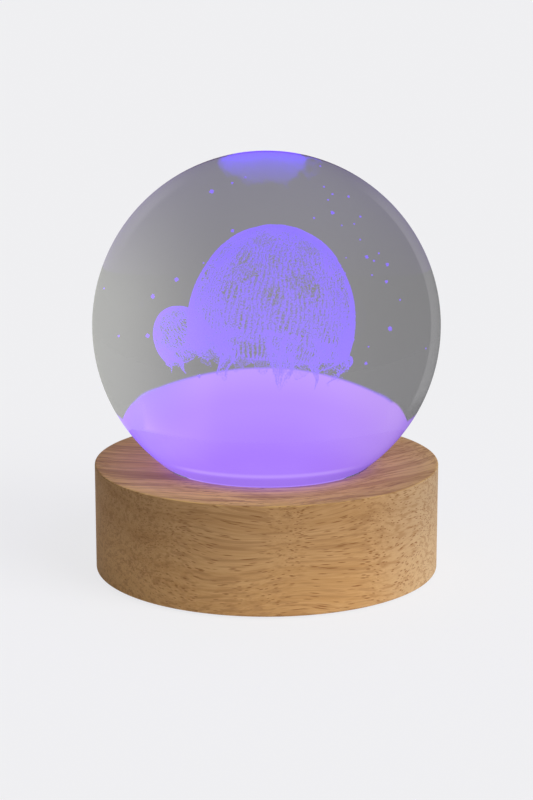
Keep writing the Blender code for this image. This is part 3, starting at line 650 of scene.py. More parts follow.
@dataclass(frozen=True)
class Moulded:
    """Moulded plastic, rubber or resin with a fine spark-eroded grain and faint flow marks."""

    colour: Colour
    roughness: float = 0.5
    grain: float = 2600.0
    depth: float = 0.00002
    glow: Colour = (0.0, 0.0, 0.0)

    def make(self, name: str) -> Material:
        """A mottled colour with a grain in its roughness and its height.

        Args:
            name: The material's name.

        Returns:
            The material.
        """
        material, g = new_material(name)
        place = g.place()
        fine = g.noise(place, self.grain, 2.0, 0.6)
        slow = g.ease(g.noise(place, 90.0), 0.35, 0.65)
        inputs = {
            "Base Color": g.mix(slow, self.colour, dimmed(self.colour, 0.82)),
            "Roughness": fine * 0.16 + (self.roughness - 0.08),
            "Normal": g.bump(fine, self.depth, 0.6),
        }
        if any(self.glow):
            patch = g.ease(g.noise(place, 120.0, 1.0), 0.3, 0.7)
            inputs["Emission Color"] = g.mix(patch, self.glow, dimmed(self.glow, 0.85))
            inputs["Emission Strength"] = 1.0
        g.end(g.add("BsdfPrincipled", inputs))
        return material


@dataclass(frozen=True)
class PlatedSteel:
    """Nickel-plated steel with fine drawn lines and a little staining."""

    colour: Colour = (0.62, 0.60, 0.57)
    roughness: float = 0.26
    lines: Triple = (9000.0, 9000.0, 900.0)
    depth: float = 0.000004

    def make(self, name: str) -> Material:
        """Metal whose roughness and tint vary along fine lines.

        Args:
            name: The material's name.

        Returns:
            The material.
        """
        material, g = new_material(name)
        place = g.place()
        lines = g.noise(g.shift("MULTIPLY", place, self.lines), 1.0)
        stain = g.ease(g.noise(place, 420.0, 3.0), 0.35, 0.7)
        inputs = {
            "Base Color": g.mix(stain, self.colour, dimmed(self.colour, 0.72)),
            "Metallic": 1.0,
            "Roughness": lines * 0.2 + (self.roughness - 0.1),
            "Normal": g.bump(lines, self.depth, 0.5),
        }
        g.end(g.add("BsdfPrincipled", inputs))
        return material


# Meshes

def put(name: str, data: Any) -> Piece:
    """Make an object of a mesh, a lamp or a camera and link it to the scene.

    Args:
        name: The object's name.
        data: What it shows.

    Returns:
        The object.
    """
    made = bpy.data.objects.new(name, data)
    bpy.context.scene.collection.objects.link(made)
    return made


def smooth(mesh: bpy.types.Mesh, sharp: float = 35.0) -> None:
    """Shade a mesh smoothly, but for edges that bend by more degrees than this."""
    mesh.shade_smooth()
    mesh.set_sharp_from_angle(angle=np.radians(sharp))


def grid_faces(rows: int, columns: int, close_rows: bool = False) -> NDArray[np.int32]:
    """Four-cornered faces between neighbouring points of a grid whose rows are closed rings.

    Args:
        rows: How many rows the grid has.
        columns: How many points each row has.
        close_rows: Whether the last row joins the first.

    Returns:
        One row of four point numbers for each face.
    """
    spans = rows if close_rows else rows - 1
    i, j = (part.ravel() for part in np.meshgrid(np.arange(spans), np.arange(columns), indexing="ij"))
    below, beside = (i + 1) % rows, (j + 1) % columns
    corners = (i * columns + j, i * columns + beside, below * columns + beside, below * columns + j)
    return np.stack(corners, axis=1).astype(np.int32)


def make_piece(name: str, points: Array, faces: NDArray[np.int32], inwards: bool = False) -> Piece:
    """Make an object of points and faces, merge its doubles and turn its faces outwards.

    Args:
        name: The piece's name.
        points: The points, one row each.
        faces: Point numbers, one row for each face.
        inwards: Whether the faces look inwards instead.

    Returns:
        The object.
    """
    mesh = bpy.data.meshes.new(name)
    mesh.from_pydata(points.reshape(-1, 3), [], faces.tolist())
    data = bmesh.new()
    data.from_mesh(mesh)
    bmesh.ops.remove_doubles(data, verts=data.verts, dist=1e-7)
    bmesh.ops.recalc_face_normals(data, faces=data.faces)
    if inwards:
        bmesh.ops.reverse_faces(data, faces=data.faces)
    data.to_mesh(mesh)
    data.free()
    smooth(mesh)
    return put(name, mesh)


def dress(piece: Piece, material: Material, body: Body, slot: str, *nodes: str) -> None:
    """Give a piece its material, its body and the nodes that it stands for.

    Args:
        piece: The piece.
        material: Its material.
        body: The body that it rides on.
        slot: A material slot's name, which is not used.
        nodes: The solids that it replaces.
    """
    piece.data.materials.append(material)
    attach(piece, body.value)
    if nodes:
        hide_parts(*nodes)
    log.info("piece %s on %s, %d faces", piece.name, body.value, len(piece.data.polygons))


def repaint(material: Material, *nodes: str) -> None:
    """Give solids that are kept as they are a detailed material.

    Args:
        material: The material.
        nodes: The solids' names.
    """
    for node in nodes:
        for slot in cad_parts[node].material_slots:
            slot.material = material
        log.info("kept %s with %s", node, material.name)


def arc(centre: Span, radius: float, start: float, end: float, steps: int) -> Array:
    """Points on a circle: its centre plus the radius times the cosine and sine of each angle.

    Args:
        centre: The circle's centre in the profile's plane.
        radius: Its radius.
        start: First angle in degrees.
        end: Last angle in degrees.
        steps: How many spans there are between them.

    Returns:
        One row of two numbers for each point.
    """
    angle = np.radians(np.linspace(start, end, steps + 1))
    return np.stack([centre[0] + radius * np.cos(angle), centre[1] + radius * np.sin(angle)], axis=1)


def disc(radius: float, low: float, high: float) -> list[Span]:
    """Profile of a disc or rod: out along its lower face, up its side and back to the axis."""
    return [(0.0, low), (radius, low), (radius, high), (0.0, high)]


def rounded(profile: list[Span], radius: float, steps: int = 3) -> Array:
    """A closed or open profile whose corners are rounded.

    Each inner corner gives way to a curve from a point a radius before it to a point a radius
    after it: the sum of the two ends and the corner, weighted by the squares and the product of
    the ways to the ends.

    Args:
        profile: The corners, in order.
        radius: How far from a corner its curve starts, or less where a side is short.
        steps: How many spans a curve has.

    Returns:
        One row of two numbers for each point.
    """
    corners = np.array(profile)
    middle = corners[1:-1]
    before, after = corners[:-2] - middle, corners[2:] - middle
    back, ahead = (np.linalg.norm(side, axis=1)[:, None] for side in (before, after))
    reach = np.minimum(np.minimum(back, ahead) * 0.45, radius)
    first = middle + before / back * reach
    last = middle + after / ahead * reach
    t = np.linspace(0, 1, steps + 1)[None, :, None]
    curve = (1 - t) ** 2 * first[:, None] + 2 * t * (1 - t) * middle[:, None] + t**2 * last[:, None]
    return np.concatenate([corners[:1], curve.reshape(-1, 2), corners[-1:]])


def turn(
    name: str, profile: Array | list[Span], steps: int, closed: bool = False, inwards: bool = False
) -> Piece:
    """A turned piece: each profile point goes round Z at its own radius and height.

    Args:
        name: The piece's name.
        profile: Radius and height, one row for each point.
        steps: How many facets go round.
        closed: Whether the profile's last point joins its first.
        inwards: Whether its faces look inwards.

    Returns:
        The object.
    """
    angle = np.linspace(0, 2 * np.pi, steps, endpoint=False)
    radius, height = np.array(profile).T[..., None]
    level = np.broadcast_to(height, (len(radius), steps))
    points = np.stack([radius * np.cos(angle), radius * np.sin(angle), level], axis=-1)
    return make_piece(name, points, grid_faces(len(radius), steps, closed), inwards)


def oval(width: float, height: float, corner: float, steps: int = 8) -> Array:
    """Outline of a rectangle with round corners, anticlockwise: four quarter circles in turn.

    Args:
        width: The rectangle's width.
        height: Its height.
        corner: Radius of its corners.
        steps: How many spans each corner has.

    Returns:
        One row of two numbers for each point.
    """
    angle = (np.arange(4)[:, None] + np.linspace(0, 1, steps + 1)[None]) * np.pi / 2
    middle_x = np.array([1, -1, -1, 1])[:, None] * (width / 2 - corner)
    middle_y = np.array([1, 1, -1, -1])[:, None] * (height / 2 - corner)
    outline = np.stack([middle_x + corner * np.cos(angle), middle_y + corner * np.sin(angle)], axis=-1)
    return outline.reshape(-1, 2)


def stacked(rings: list[Array], levels: list[float]) -> Array:
    """Outlines one above the other, turned so that their width lies level once they point outwards."""
    parts = [(-ring[:, 1], ring[:, 0], np.full(len(ring), level)) for ring, level in zip(rings, levels)]
    return np.stack([np.stack(part, axis=1) for part in parts])


def aim(piece: Piece, matrix: Matrix) -> None:
    """Move a piece's own points, so that its object stays at the origin."""
    piece.data.transform(matrix)
    piece.data.update()


def outwards(angle: float, distance: float, height: float) -> Matrix:
    """The place of a piece whose own Z points away from the lamp's axis.

    Args:
        angle: Direction in degrees from +X towards +Y.
        distance: How far from the axis its foot lies.
        height: Its height.

    Returns:
        The matrix.
    """
    turned = Matrix.Rotation(np.radians(angle), 4, "Z")
    return turned @ Matrix.Translation((distance, 0.0, height)) @ Matrix.Rotation(np.pi / 2, 4, "Y")


def carve(piece: Piece, tools: list[Piece]) -> None:
    """Take tools' shapes out of a piece, keep the result as its mesh and drop the tools.

    Args:
        piece: The piece.
        tools: The cutting shapes.
    """
    for tool in tools:
        cut = piece.modifiers.new(tool.name, "BOOLEAN")
        cut.operation, cut.solver, cut.object = "DIFFERENCE", "EXACT", tool
    graph = bpy.context.evaluated_depsgraph_get()
    carved = bpy.data.meshes.new_from_object(piece.evaluated_get(graph))
    piece.modifiers.clear()
    piece.data = carved
    carved.name = piece.name
    for tool in tools:
        bpy.data.objects.remove(tool)
    smooth(carved)


def specks(name: str, centres: Array, sizes: Array | float, seed: int) -> Piece:
    """Many tiny four-sided grains, each turned its own way and of a size of its own.

    A grain is four points at even spacing round its centre, carried by a random turn.

    Args:
        name: The piece's name.
        centres: The grains' centres, one row each.
        sizes: Distance from each centre to its grain's corners, which varies by a quarter.
        seed: Seed of the turns and sizes.

    Returns:
        The object.
    """
    rng = np.random.default_rng(seed)
    reach = (sizes * rng.uniform(0.75, 1.25, size=len(centres)))[:, None, None]
    corners = np.array([(1, 1, 1), (1, -1, -1), (-1, 1, -1), (-1, -1, 1)]) / np.sqrt(3)
    frames, _ = np.linalg.qr(rng.normal(size=(len(centres), 3, 3)))
    frames *= np.sign(np.linalg.det(frames))[:, None, None]
    points = centres[:, None, :] + reach * np.einsum("kj,nij->nki", corners, frames)
    sides = np.array([(0, 1, 2), (0, 2, 3), (0, 3, 1), (1, 3, 2)])
    faces = sides[None] + 4 * np.arange(len(centres))[:, None, None]
    mesh = bpy.data.meshes.new(name)
    mesh.from_pydata(points.reshape(-1, 3), [], faces.reshape(-1, 3).tolist())
    return put(name, mesh)


# Ball

@dataclass
class GlassBall:
    """The solid glass ball, the light in its foot and what is engraved in it."""

    radius: float = 0.040
    centre: float = 0.05742
    glow_gap: float = 0.0003
    near_gap_share: float = 0.6
    glow_drop: float = 0.0115
    glow_fade: float = 0.0004
    near_drop: float = 0.0183
    near_lap: float = 0.002
    corner_drop: float = 0.0115
    crescent_drop: float = 0.0284
    contact: float = 0.0242
    lens_radius: float = 0.0135
    chip_place: float = 0.00395
    dot: float = 0.000078
    engraving_light: Span = (-0.012, 0.018)

    def build(self) -> None:
        """Build and dress every piece of the ball."""
        self.build_ball()
        self.build_glow()
        self.build_engraving()
        self.build_stars(Stars())

    def build_ball(self) -> None:
        """The ball: an arc from pole to pole, turned."""
        ball = turn("glass_ball", arc((0.0, self.centre), self.radius, -90, 90, 128), 256)
        glass = ClearGlass().make(self.centre, self.radius)
        dress(ball, glass, Body.BALL, "clear_glass", "crystal_ball")

    def build_glow(self) -> None:
        """The glow: a sheet just inside the glass that faces inwards, and one that faces outwards."""
        reach = self.radius - self.glow_gap
        top = -np.degrees(np.arcsin((self.glow_drop - self.glow_fade) / reach))
        bowl = turn("glow_bowl", arc((0.0, self.centre), reach, top, -90, 72), 192, inwards=True)
        foot = self.centre - np.sqrt(reach**2 - self.lens_radius**2)
        far = FarGlow().make(self.centre - self.glow_drop, foot, self.chip_place)
        outer = self.radius - self.near_gap_share * self.glow_gap
        start = -np.degrees(np.arcsin((self.corner_drop - self.near_lap) / outer))
        end = -np.degrees(np.arccos(self.contact / outer))
        sheet = turn("glow_near", arc((0.0, self.centre), outer, start, end, 56), 192)
        drops = (self.near_drop, self.corner_drop, self.crescent_drop)
        near = NearGlow().make(*(self.centre - drop for drop in drops))
        for piece, glow in ((bowl, far), (sheet, near)):
            dress(piece, glow, Body.BALL, "clear_glass")
            piece.visible_shadow = False
            piece.visible_diffuse = False

    def build_engraving(self) -> None:
        """The engraved bells and their arms, dots on the surfaces of the solid figure."""
        low, high = (self.centre + part for part in self.engraving_light)
        finish = Engraving().make("engraved_lines", low, high)
        large = Bell(width=0.0260, height=0.0195, middle=(0.0014, 0.0060), lean=7.0, ribs=12)
        small = Bell(width=0.0090, height=0.0072, middle=(-0.0139, -0.0006), lean=-36.0, ribs=6)
        large_arms = Arms(radius=0.0029, length=0.0056, angles=(10, 75, 150, 215, 290))
        small_arms = Arms(radius=0.0016, length=0.0032, angles=(60, 180, 300))
        drawn = {
            "large_bell": large.dots(44000, 3),
            "large_bell_net": large.dots(44000, 4),
            "large_bell_mist": large.dots(22000, 8, 12.0),
            "small_bell": small.dots(16000, 5),
            "large_arms": large_arms.dots(large, 3000, 7),
            "small_arms": small_arms.dots(small, 1000, 9),
        }
        for seed, (name, points) in enumerate(drawn.items()):
            figure = specks(name, points + (0.0, 0.0, self.centre), self.dot, seed)
            dress(figure, finish, Body.BALL, "engraved_glass", "engraved_figure")
            figure.visible_shadow = False

    def build_stars(self, stars: Stars) -> None:
        """Scattered dots round the bells, each of several grains in one place.

        Args:
            stars: How many there are and where they lie.
        """
        centres, sizes = stars.scatter()
        piece = specks("stars", centres + (0.0, 0.0, self.centre), sizes, stars.turn_seed)
        low, high = (self.centre + part for part in stars.light)
        dress(piece, Engraving().make("engraved_dots", low, high), Body.BALL, "engraved_glass")
        piece.visible_shadow = False


@dataclass
class Stars:
    """Single dots in the glass, clear of the figure, with more of them towards +X."""

    count: int = 44
    grains: int = 8
    tries: int = 900
    reach: float = 0.0265
    figure: Triple = (0.001, 0.0, 0.005)
    clearance: float = 0.0168
    lowest: float = -0.006
    large: float = 0.00037
    little: float = 0.00019
    light: Span = (-0.02, 0.03)
    seed: int = 58
    turn_seed: int = 42

    def scatter(self) -> tuple[Array, Array]:
        """Places at random in the upper part of a smaller ball, and sizes, every third one large.

        Returns:
            The grains' places, relative to the ball's centre, and their sizes.
        """
        rng = np.random.default_rng(self.seed)
        spread = rng.normal(size=(self.tries, 3)) * (1.0, 0.8, 1.0) + (0.35, 0.0, 0.25)
        share = rng.uniform(0.2, 1.0, size=self.tries) ** (1 / 3)
        spread *= (self.reach * share / np.linalg.norm(spread, axis=1))[:, None]
        away = np.linalg.norm((spread - self.figure) * (1.0, 1.0, 1.15), axis=1)
        spread = spread[(away > self.clearance) & (spread[:, 2] > self.lowest)][: self.count]
        size = np.where(np.arange(len(spread)) % 3 == 0, self.large, self.little)
        size = np.repeat(size * rng.uniform(0.8, 1.2, size=len(spread)), self.grains)
        return np.repeat(spread, self.grains, axis=0), size


@dataclass
class Bell:
    """A ribbed bell in the glass: how large it is, where it is and how it leans."""

    width: float
    height: float
    middle: Span
    lean: float
    ribs: int
    end: float = 108.0
    rib_share: float = 0.035
    lines: int = 9
    rim_share: float = 0.05
    rim_width: float = 0.02
    wander: float = 0.17
    thickness: float = 0.00012
    lace_start: float = 0.62
    fringe_share: float = 0.09

    def surface(self, u: Array, v: Array, out: Array) -> Array:
        """The bell's wall, leaning in the ball.

        The way down v turns an angle from 0 to its end. The distance from the axis is half the
        width times the angle's sine, drawn in a little between the ribs, and the height falls
        with one minus the angle's cosine.

        Args:
            u: Angle round the bell's axis.
            v: Way down from the crown, 0 to 1.
            out: How far a point stands off the wall.

        Returns:
            The points, relative to the ball's centre.
        """
        angle = np.radians(self.end) * v
        drawn_in = 1 - self.rib_share * (1 - np.cos(self.ribs * u)) / 2
        reach = 0.5 * self.width * np.sin(angle) * drawn_in + out
        level = 0.5 * self.height - self.height * (1 - np.cos(angle)) / (1 - np.cos(np.radians(self.end)))
        return self.leaned(np.stack([reach * np.cos(u), reach * np.sin(u), level], axis=1))

    def leaned(self, points: Array) -> Array:
        """Turn points about Y by the bell's lean and carry them to its middle.

        Args:
            points: The points of an upright bell round the origin.

        Returns:
            The points, relative to the ball's centre.
        """
        sine, cosine = np.sin(np.radians(self.lean)), np.cos(np.radians(self.lean))
        turned = np.array([[cosine, 0, sine], [0, 1, 0], [-sine, 0, cosine]])
        return points @ turned.T + (self.middle[0], 0.0, self.middle[1])

    def dots(self, count: int, seed: int, mist: float = 0.55) -> Array:
        """Dots along fine lines from the crown to the rim, thinner in places, and a ragged fringe.

        Towards the crown more and more of them lie loose between the lines.

        Args:
            count: How many dots are tried.
            seed: Seed of their places.
            mist: Share of loose dots at the crown.

        Returns:
            The points, relative to the ball's centre.
        """
        rng = np.random.default_rng(seed)
        lines = self.ribs * self.lines
        line = rng.integers(0, lines, size=count)
        v = np.sqrt(rng.uniform(0.0, 1.0, size=count))
        on_rim = rng.uniform(size=count) < self.rim_share
        v = np.where(on_rim, 1 - self.rim_width * rng.uniform(size=count), v)
        wave = 0.35 * np.sin(23.0 * v + 0.7 * line)
        u = (line + wave + rng.normal(size=count) * self.wander) * 2 * np.pi / lines
        loose = rng.uniform(size=count) < mist * (1 - v)
        u = np.where(loose, rng.uniform(0.0, 2 * np.pi, size=count), u)
        thin = np.sin(5.0 * u + 11.0 * v) * np.sin(4.0 * u - 15.0 * v + 1.0) * np.sin(3.1 * v)
        lace = np.sin(lines * 0.5 * u) * np.sin(90.0 * v) * (v > self.lace_start)
        kept = rng.uniform(size=count) > np.clip(2.2 * (thin - 0.3) + 0.7 * lace, 0, 0.85)
        wall = self.surface(u, v, -np.abs(rng.normal(size=count)) * self.thickness)[kept]
        drop = self.height * (0.05 + 0.16 * np.abs(np.sin(3.5 * u) * np.sin(11.0 * u + 1.0)))
        hang = drop * rng.uniform(0.0, 1.0, size=count) ** 1.6
        ruffle = 0.03 * self.width * np.sin(hang * 2600.0 + 9.0 * u)
        lean = np.radians(self.lean)
        below = self.surface(u, np.ones(count), ruffle)
        below = below - hang[:, None] * (np.sin(lean), 0.0, np.cos(lean))
        return np.concatenate([wall, below[rng.uniform(size=count) < self.fringe_share]])


@dataclass
class Arms:
    """Frilled arms below a bell's rim."""

    radius: float
    length: float
    angles: tuple[int, ...]
    circle_share: float = 0.6
    folds: int = 9
    lift: float = 0.0012

    def dots(self, bell: Bell, count: int, seed: int) -> Array:
        """Dots on one frilled strip for each arm.

        A strip hangs below a point on a circle under the rim. Its half width shrinks with the way
        down, its end is torn by sines of the place across, and it swings from side to side by
        sines of the way down and of the place across.

        Args:
            bell: The bell that the arms hang from.
            count: How many dots each arm has.
            seed: Seed of their places.

        Returns:
            The points, relative to the ball's centre.
        """
        rng = np.random.default_rng(seed)
        start = np.radians(np.repeat(self.angles, count))
        down = rng.uniform(0.0, 1.0, size=len(start)) ** 1.3
        across = np.round(rng.uniform(-1, 1, size=len(start)) * self.folds) / self.folds
        across = across + rng.normal(size=len(start)) * 0.02
        down = down * (0.6 + 0.4 * np.sin(17 * across + start) * np.sin(31 * across + 2 * start))
        across = across * self.radius * (1 - down) ** 0.8
        waves = np.sin(9 * down + 2 * start) + np.sin(3000 * across + start)
        swing = 0.35 * self.radius * waves * (1 - down)
        reach = self.circle_share * 0.5 * bell.width
        x = reach * np.cos(start) - across * np.sin(start) + swing * np.cos(start)
        y = reach * np.sin(start) + across * np.cos(start) + swing * np.sin(start)
        z = -0.5 * bell.height + self.lift * (1 - down) - self.length * down
        return bell.leaned(np.stack([x, y, z], axis=1))


# Base

@dataclass(frozen=True)
class Back:
    """Where the button and the inlet are in the wall of the base."""

    button_angle: float = 60.0
    button_axis: float = 0.0096
    button_shoulder: float = 0.0335
    plug_angle: float = 90.0
    plug_axis: float = 0.00953
    plug_floor: float = 0.0333

    def at_button(self, start: float = 0.0) -> Matrix:
        """The place of a piece on the button's axis that starts so far outside the shoulder."""
        return outwards(self.button_angle, self.button_shoulder + start, self.button_axis)

    def at_plug(self, distance: float) -> Matrix:
        """The place of a piece on the inlet's axis that starts so far from the lamp's axis."""
        return outwards(self.plug_angle, distance, self.plug_axis)


@dataclass
class WoodenBase:
    """The turned base with its ball seat, and the pocket and bore in its back.

    An outline is a width, a height and the radius of the corners.
    """

    radius: float = 0.040
    bottom: float = 0.0005
    top: float = 0.0255
    edge: float = 0.0004
    seat_line: float = 0.0241
    mouth: float = 0.02425
    bevel: float = 0.0024
    pocket: float = 0.0218
    pocket_floor: float = 0.0187
    well: float = 0.0165
    lens_pocket: float = 0.0203
    lens_ledge: float = 0.01522
    roof: float = 0.01422
    cavity: float = 0.031
    cover_ledge: float = 0.0032
    cover_pocket: float = 0.0363
    longest_side: float = 0.003
    bore_radius: float = 0.0033
    bore_length: float = 0.012
    bore_lap: float = 0.001
    room_radius: float = 0.0045
    room_length: float = 0.0045
    plug_outline: Triple = (0.013, 0.0076, 0.0018)
    plug_depth: float = 0.010
    plug_flare: float = 0.0002
    slot_outline: Triple = (0.00954, 0.00386, 0.00193)
    slot_depth: float = 0.006
    slot_inset: float = 0.0045

    def profile(self) -> Array:
        """Half section of the wood, its corners eased and its long sides split.

        The split keeps the shading even near the cuts.

        Returns:
            Radius and height, one row for each point.
        """
        corners = [
            (self.cover_pocket, 0.5 * (self.bottom + self.cover_ledge)),
            (self.cover_pocket, self.bottom),
            (self.radius, self.bottom),
            (self.radius, self.top),
            (self.mouth, self.top),
            (self.pocket, self.top - self.bevel),
            (self.pocket, self.pocket_floor),
            (self.well, self.pocket_floor),
            (self.well, self.lens_ledge),
            (self.lens_pocket, self.lens_ledge),
            (self.lens_pocket, self.roof),
            (self.cavity, self.roof),
            (self.cavity, self.cover_ledge),
            (self.cover_pocket, self.cover_ledge),
        ]
        points = rounded(corners + corners[:1], self.edge, 4)[:-1]
        sides = np.roll(points, -1, axis=0) - points
        spans = np.maximum(1, np.ceil(np.linalg.norm(sides, axis=1) / self.longest_side)).astype(int)
        parts = [
            point + side * np.linspace(0, 1, count, endpoint=False)[:, None]
            for point, side, count in zip(points, sides, spans)
        ]
        return np.concatenate(parts)

    def build(self, back: Back) -> None:
        """Turn the base, cut its openings and dress it.

        Args:
            back: Where the openings are.
        """
        wood = turn("turned_wood", self.profile(), 288, closed=True)
        bore = turn("bore", disc(self.bore_radius, 0.0, self.bore_length), 64)
        aim(bore, back.at_button(-self.bore_lap))
        room = turn("room", disc(self.room_radius, 0.0, self.room_length), 64)
        aim(room, back.at_button(-self.room_length))
        pocket = self.block("pocket", self.plug_outline, self.plug_depth, self.plug_flare)
        aim(pocket, back.at_plug(back.plug_floor))
        slot = self.block("slot", self.slot_outline, self.slot_depth, 0.0)
        aim(slot, back.at_plug(back.plug_floor - self.slot_inset))
        carve(wood, [bore, room, pocket, slot])
        finish = OiledWood().make(self.seat_line, self.top)
        dress(wood, finish, Body.BASE, "oiled_wood", "wood_base")

    def block(self, name: str, outline: Triple, depth: float, flare: float) -> Piece:
        """A block with a rounded outline whose width lies level once it points outwards.

        Args:
            name: The block's name.
            outline: Its width, its height and the radius of its corners.
            depth: How far it reaches outwards.
            flare: How much its outer end spreads.

        Returns:
            The object.
        """
        ring = oval(*outline)
        middle = np.zeros_like(ring)
        rings = [middle, ring, ring * (1 + flare / outline[0]), middle]
        return make_piece(name, stacked(rings, [0.0, 0.0, depth, depth]), grid_faces(4, len(ring)))


@dataclass
class Seat:
    """The soft ring that carries the ball and the frosted lens below it."""

    ball_centre: float = 0.05742
    ball_radius: float = 0.040
    ball_gap: float = 0.00015
    inner: float = 0.0170
    outer: float = 0.0215
    foot: float = 0.01898
    lens_radius: float = 0.0200
    lens_bottom: float = 0.01292
    lens_top: float = 0.01492
    lens_edge: float = 0.0003

    def build(self) -> None:
        """Build and dress the ring and the lens."""
        reach = np.linspace(self.inner, self.outer, 9)
        dish = self.ball_centre - np.sqrt((self.ball_radius + self.ball_gap) ** 2 - reach**2)
        profile = [(self.inner, self.foot), *zip(reach, dish), (self.outer, self.foot)]
        ring = turn("soft_seat", profile, 144, closed=True)
        silicone = Moulded((0.72, 0.70, 0.78), 0.42, glow=(0.10, 0.06, 0.30)).make("clear_silicone")
        dress(ring, silicone, Body.BASE, "clear_silicone", "seat_ring")
        plate = rounded(disc(self.lens_radius, self.lens_bottom, self.lens_top), self.lens_edge)
        frosted = Moulded((0.80, 0.78, 0.88), 0.5, glow=(0.95, 0.55, 1.9)).make("frosted_lens")
        dress(turn("frosted_lens", plate, 144), frosted, Body.BASE, "frosted_lens", "diffuser_lens")


@dataclass
class SmallParts:
    """The button, the feet and the inlet's shell, with the soft edges of moulding and pressing."""

    button_radius: float = 0.0030
    button_face: float = 0.0073
    button_edge: float = 0.00022
    dome: float = 0.0005
    flange_radius: float = 0.0042
    flange_front: float = -0.0003
    flange_back: float = -0.0013
    stem_radius: float = 0.0013
    stem_end: float = -0.0041
    foot_radius: float = 0.0040
    foot_height: float = 0.0015
    foot_edge: float = 0.0003
    foot_circle: float = 0.0290
    shell_width: float = 0.00894
    shell_height: float = 0.00326
    shell_wall: float = 0.0003
    shell_start: float = 0.0257
    shell_mouth: float = 0.0330

    def build_button(self, plastic: Material, back: Back) -> None:
        """The button: a stem, a flange and a barrel whose face is part of a large sphere.

        Args:
            plastic: Its material.
            back: Where it is.
        """
        reach = np.linspace(0.0, 0.92 * self.button_radius, 13)
        face = self.button_face - self.dome * 0.7 * (reach / self.button_radius) ** 2
        corners = [
            (0.0, self.stem_end),
            (self.stem_radius, self.stem_end),
            (self.stem_radius, self.flange_back),
            (self.flange_radius, self.flange_back),
            (self.flange_radius, self.flange_front),
            (self.button_radius, self.flange_front),
            (self.button_radius, self.button_face - 0.8 * self.dome),
            *zip(reach[::-1], face[::-1]),
        ]
        button = turn("domed_button", rounded(corners, self.button_edge, 4), 96)
        aim(button, back.at_button())
        dress(button, plastic, Body.BUTTON, "black_plastic", "push_button")

    def build_feet(self, rubber: Material) -> None:
        """Four feet with eased rims.

        Args:
            rubber: Their material.
        """
        profile = rounded(disc(self.foot_radius, 0.0, self.foot_height), self.foot_edge, 5)
        away = Matrix.Translation((self.foot_circle, 0, 0))
        for number, angle in enumerate((45, 135, 225, 315), start=1):
            foot = turn(f"soft_foot_{number}", profile, 72)
            aim(foot, Matrix.Rotation(np.radians(angle), 4, "Z") @ away)
            dress(foot, rubber, Body.BASE, "foot_rubber", f"rubber_foot_{number}")

    def build_shell(self, steel: Material, back: Back) -> None:
        """The inlet's shell: one oval outline at each point of the wall's section, its mouth eased.

        Args:
            steel: Its material.
            back: Where it is.
        """
        width, height, wall = self.shell_width, self.shell_height, self.shell_wall
        ease = 0.3 * wall
        depths = [0.0, 0.0, ease, wall - ease, wall, wall]
        levels = [self.shell_start, self.shell_mouth - ease, self.shell_mouth]
        rings = [oval(width - 2 * d, height - 2 * d, height / 2 - d, 16) for d in depths]
        faces = grid_faces(len(rings), len(rings[0]), True)
        shell = make_piece("pressed_shell", stacked(rings, levels + levels[::-1]), faces)
        aim(shell, back.at_plug(0.0))
        dress(shell, steel, Body.BASE, "plated_steel", "port_shell")


@dataclass(frozen=True)
class Underside:
    """What is under and inside the base: the small parts, and finishes of the solids that stay."""

    plastic: Moulded = Moulded((0.030, 0.030, 0.031), 0.48)
    resin: Moulded = Moulded((0.020, 0.020, 0.021), 0.55, 5200.0, 0.000008)
    rubber: Moulded = Moulded((0.042, 0.041, 0.040), 0.78, 1800.0, 0.00003)
    white: Moulded = Moulded((0.82, 0.82, 0.80), 0.42)
    laminate: Moulded = Moulded((0.74, 0.76, 0.72), 0.34, 3400.0, 0.00001)
    package: Moulded = Moulded((0.80, 0.77, 0.66), 0.22, glow=(0.9, 0.5, 3.2))
    ceramic: Moulded = Moulded((0.050, 0.050, 0.058), 0.3, 6000.0, 0.000006)
    amber: Moulded = Moulded((0.55, 0.34, 0.07), 0.35)

    def build(self, back: Back) -> None:
        """Build the small parts and give each other solid a material of its kind.

        Args:
            back: Where the button and the inlet are.
        """
        parts = SmallParts()
        black = self.plastic.make("black_plastic")
        repaint(black, "bottom_cover")
        parts.build_button(black, back)
        repaint(self.resin.make("black_resin"), "port_insert", "controller_chip", "switch_body")
        parts.build_feet(self.rubber.make("foot_rubber"))
        steel = PlatedSteel().make("plated_steel")
        parts.build_shell(steel, back)
        screws = [f"{kind}_screw_{n}" for kind in ("cover", "board") for n in range(1, 4)]
        repaint(steel, "switch_plunger", *screws)
        repaint(self.white.make("white_plastic"), "reflector_cup")
        repaint(self.laminate.make("white_laminate"), "led_board")
        repaint(self.package.make("led_package"), *(f"rgb_led_{n}" for n in range(1, 5)))
        repaint(self.ceramic.make("resistor_ceramic"), *(f"resistor_{n}" for n in range(1, 4)))
        repaint(self.amber.make("capacitor_resin"), "capacitor")


# Studio

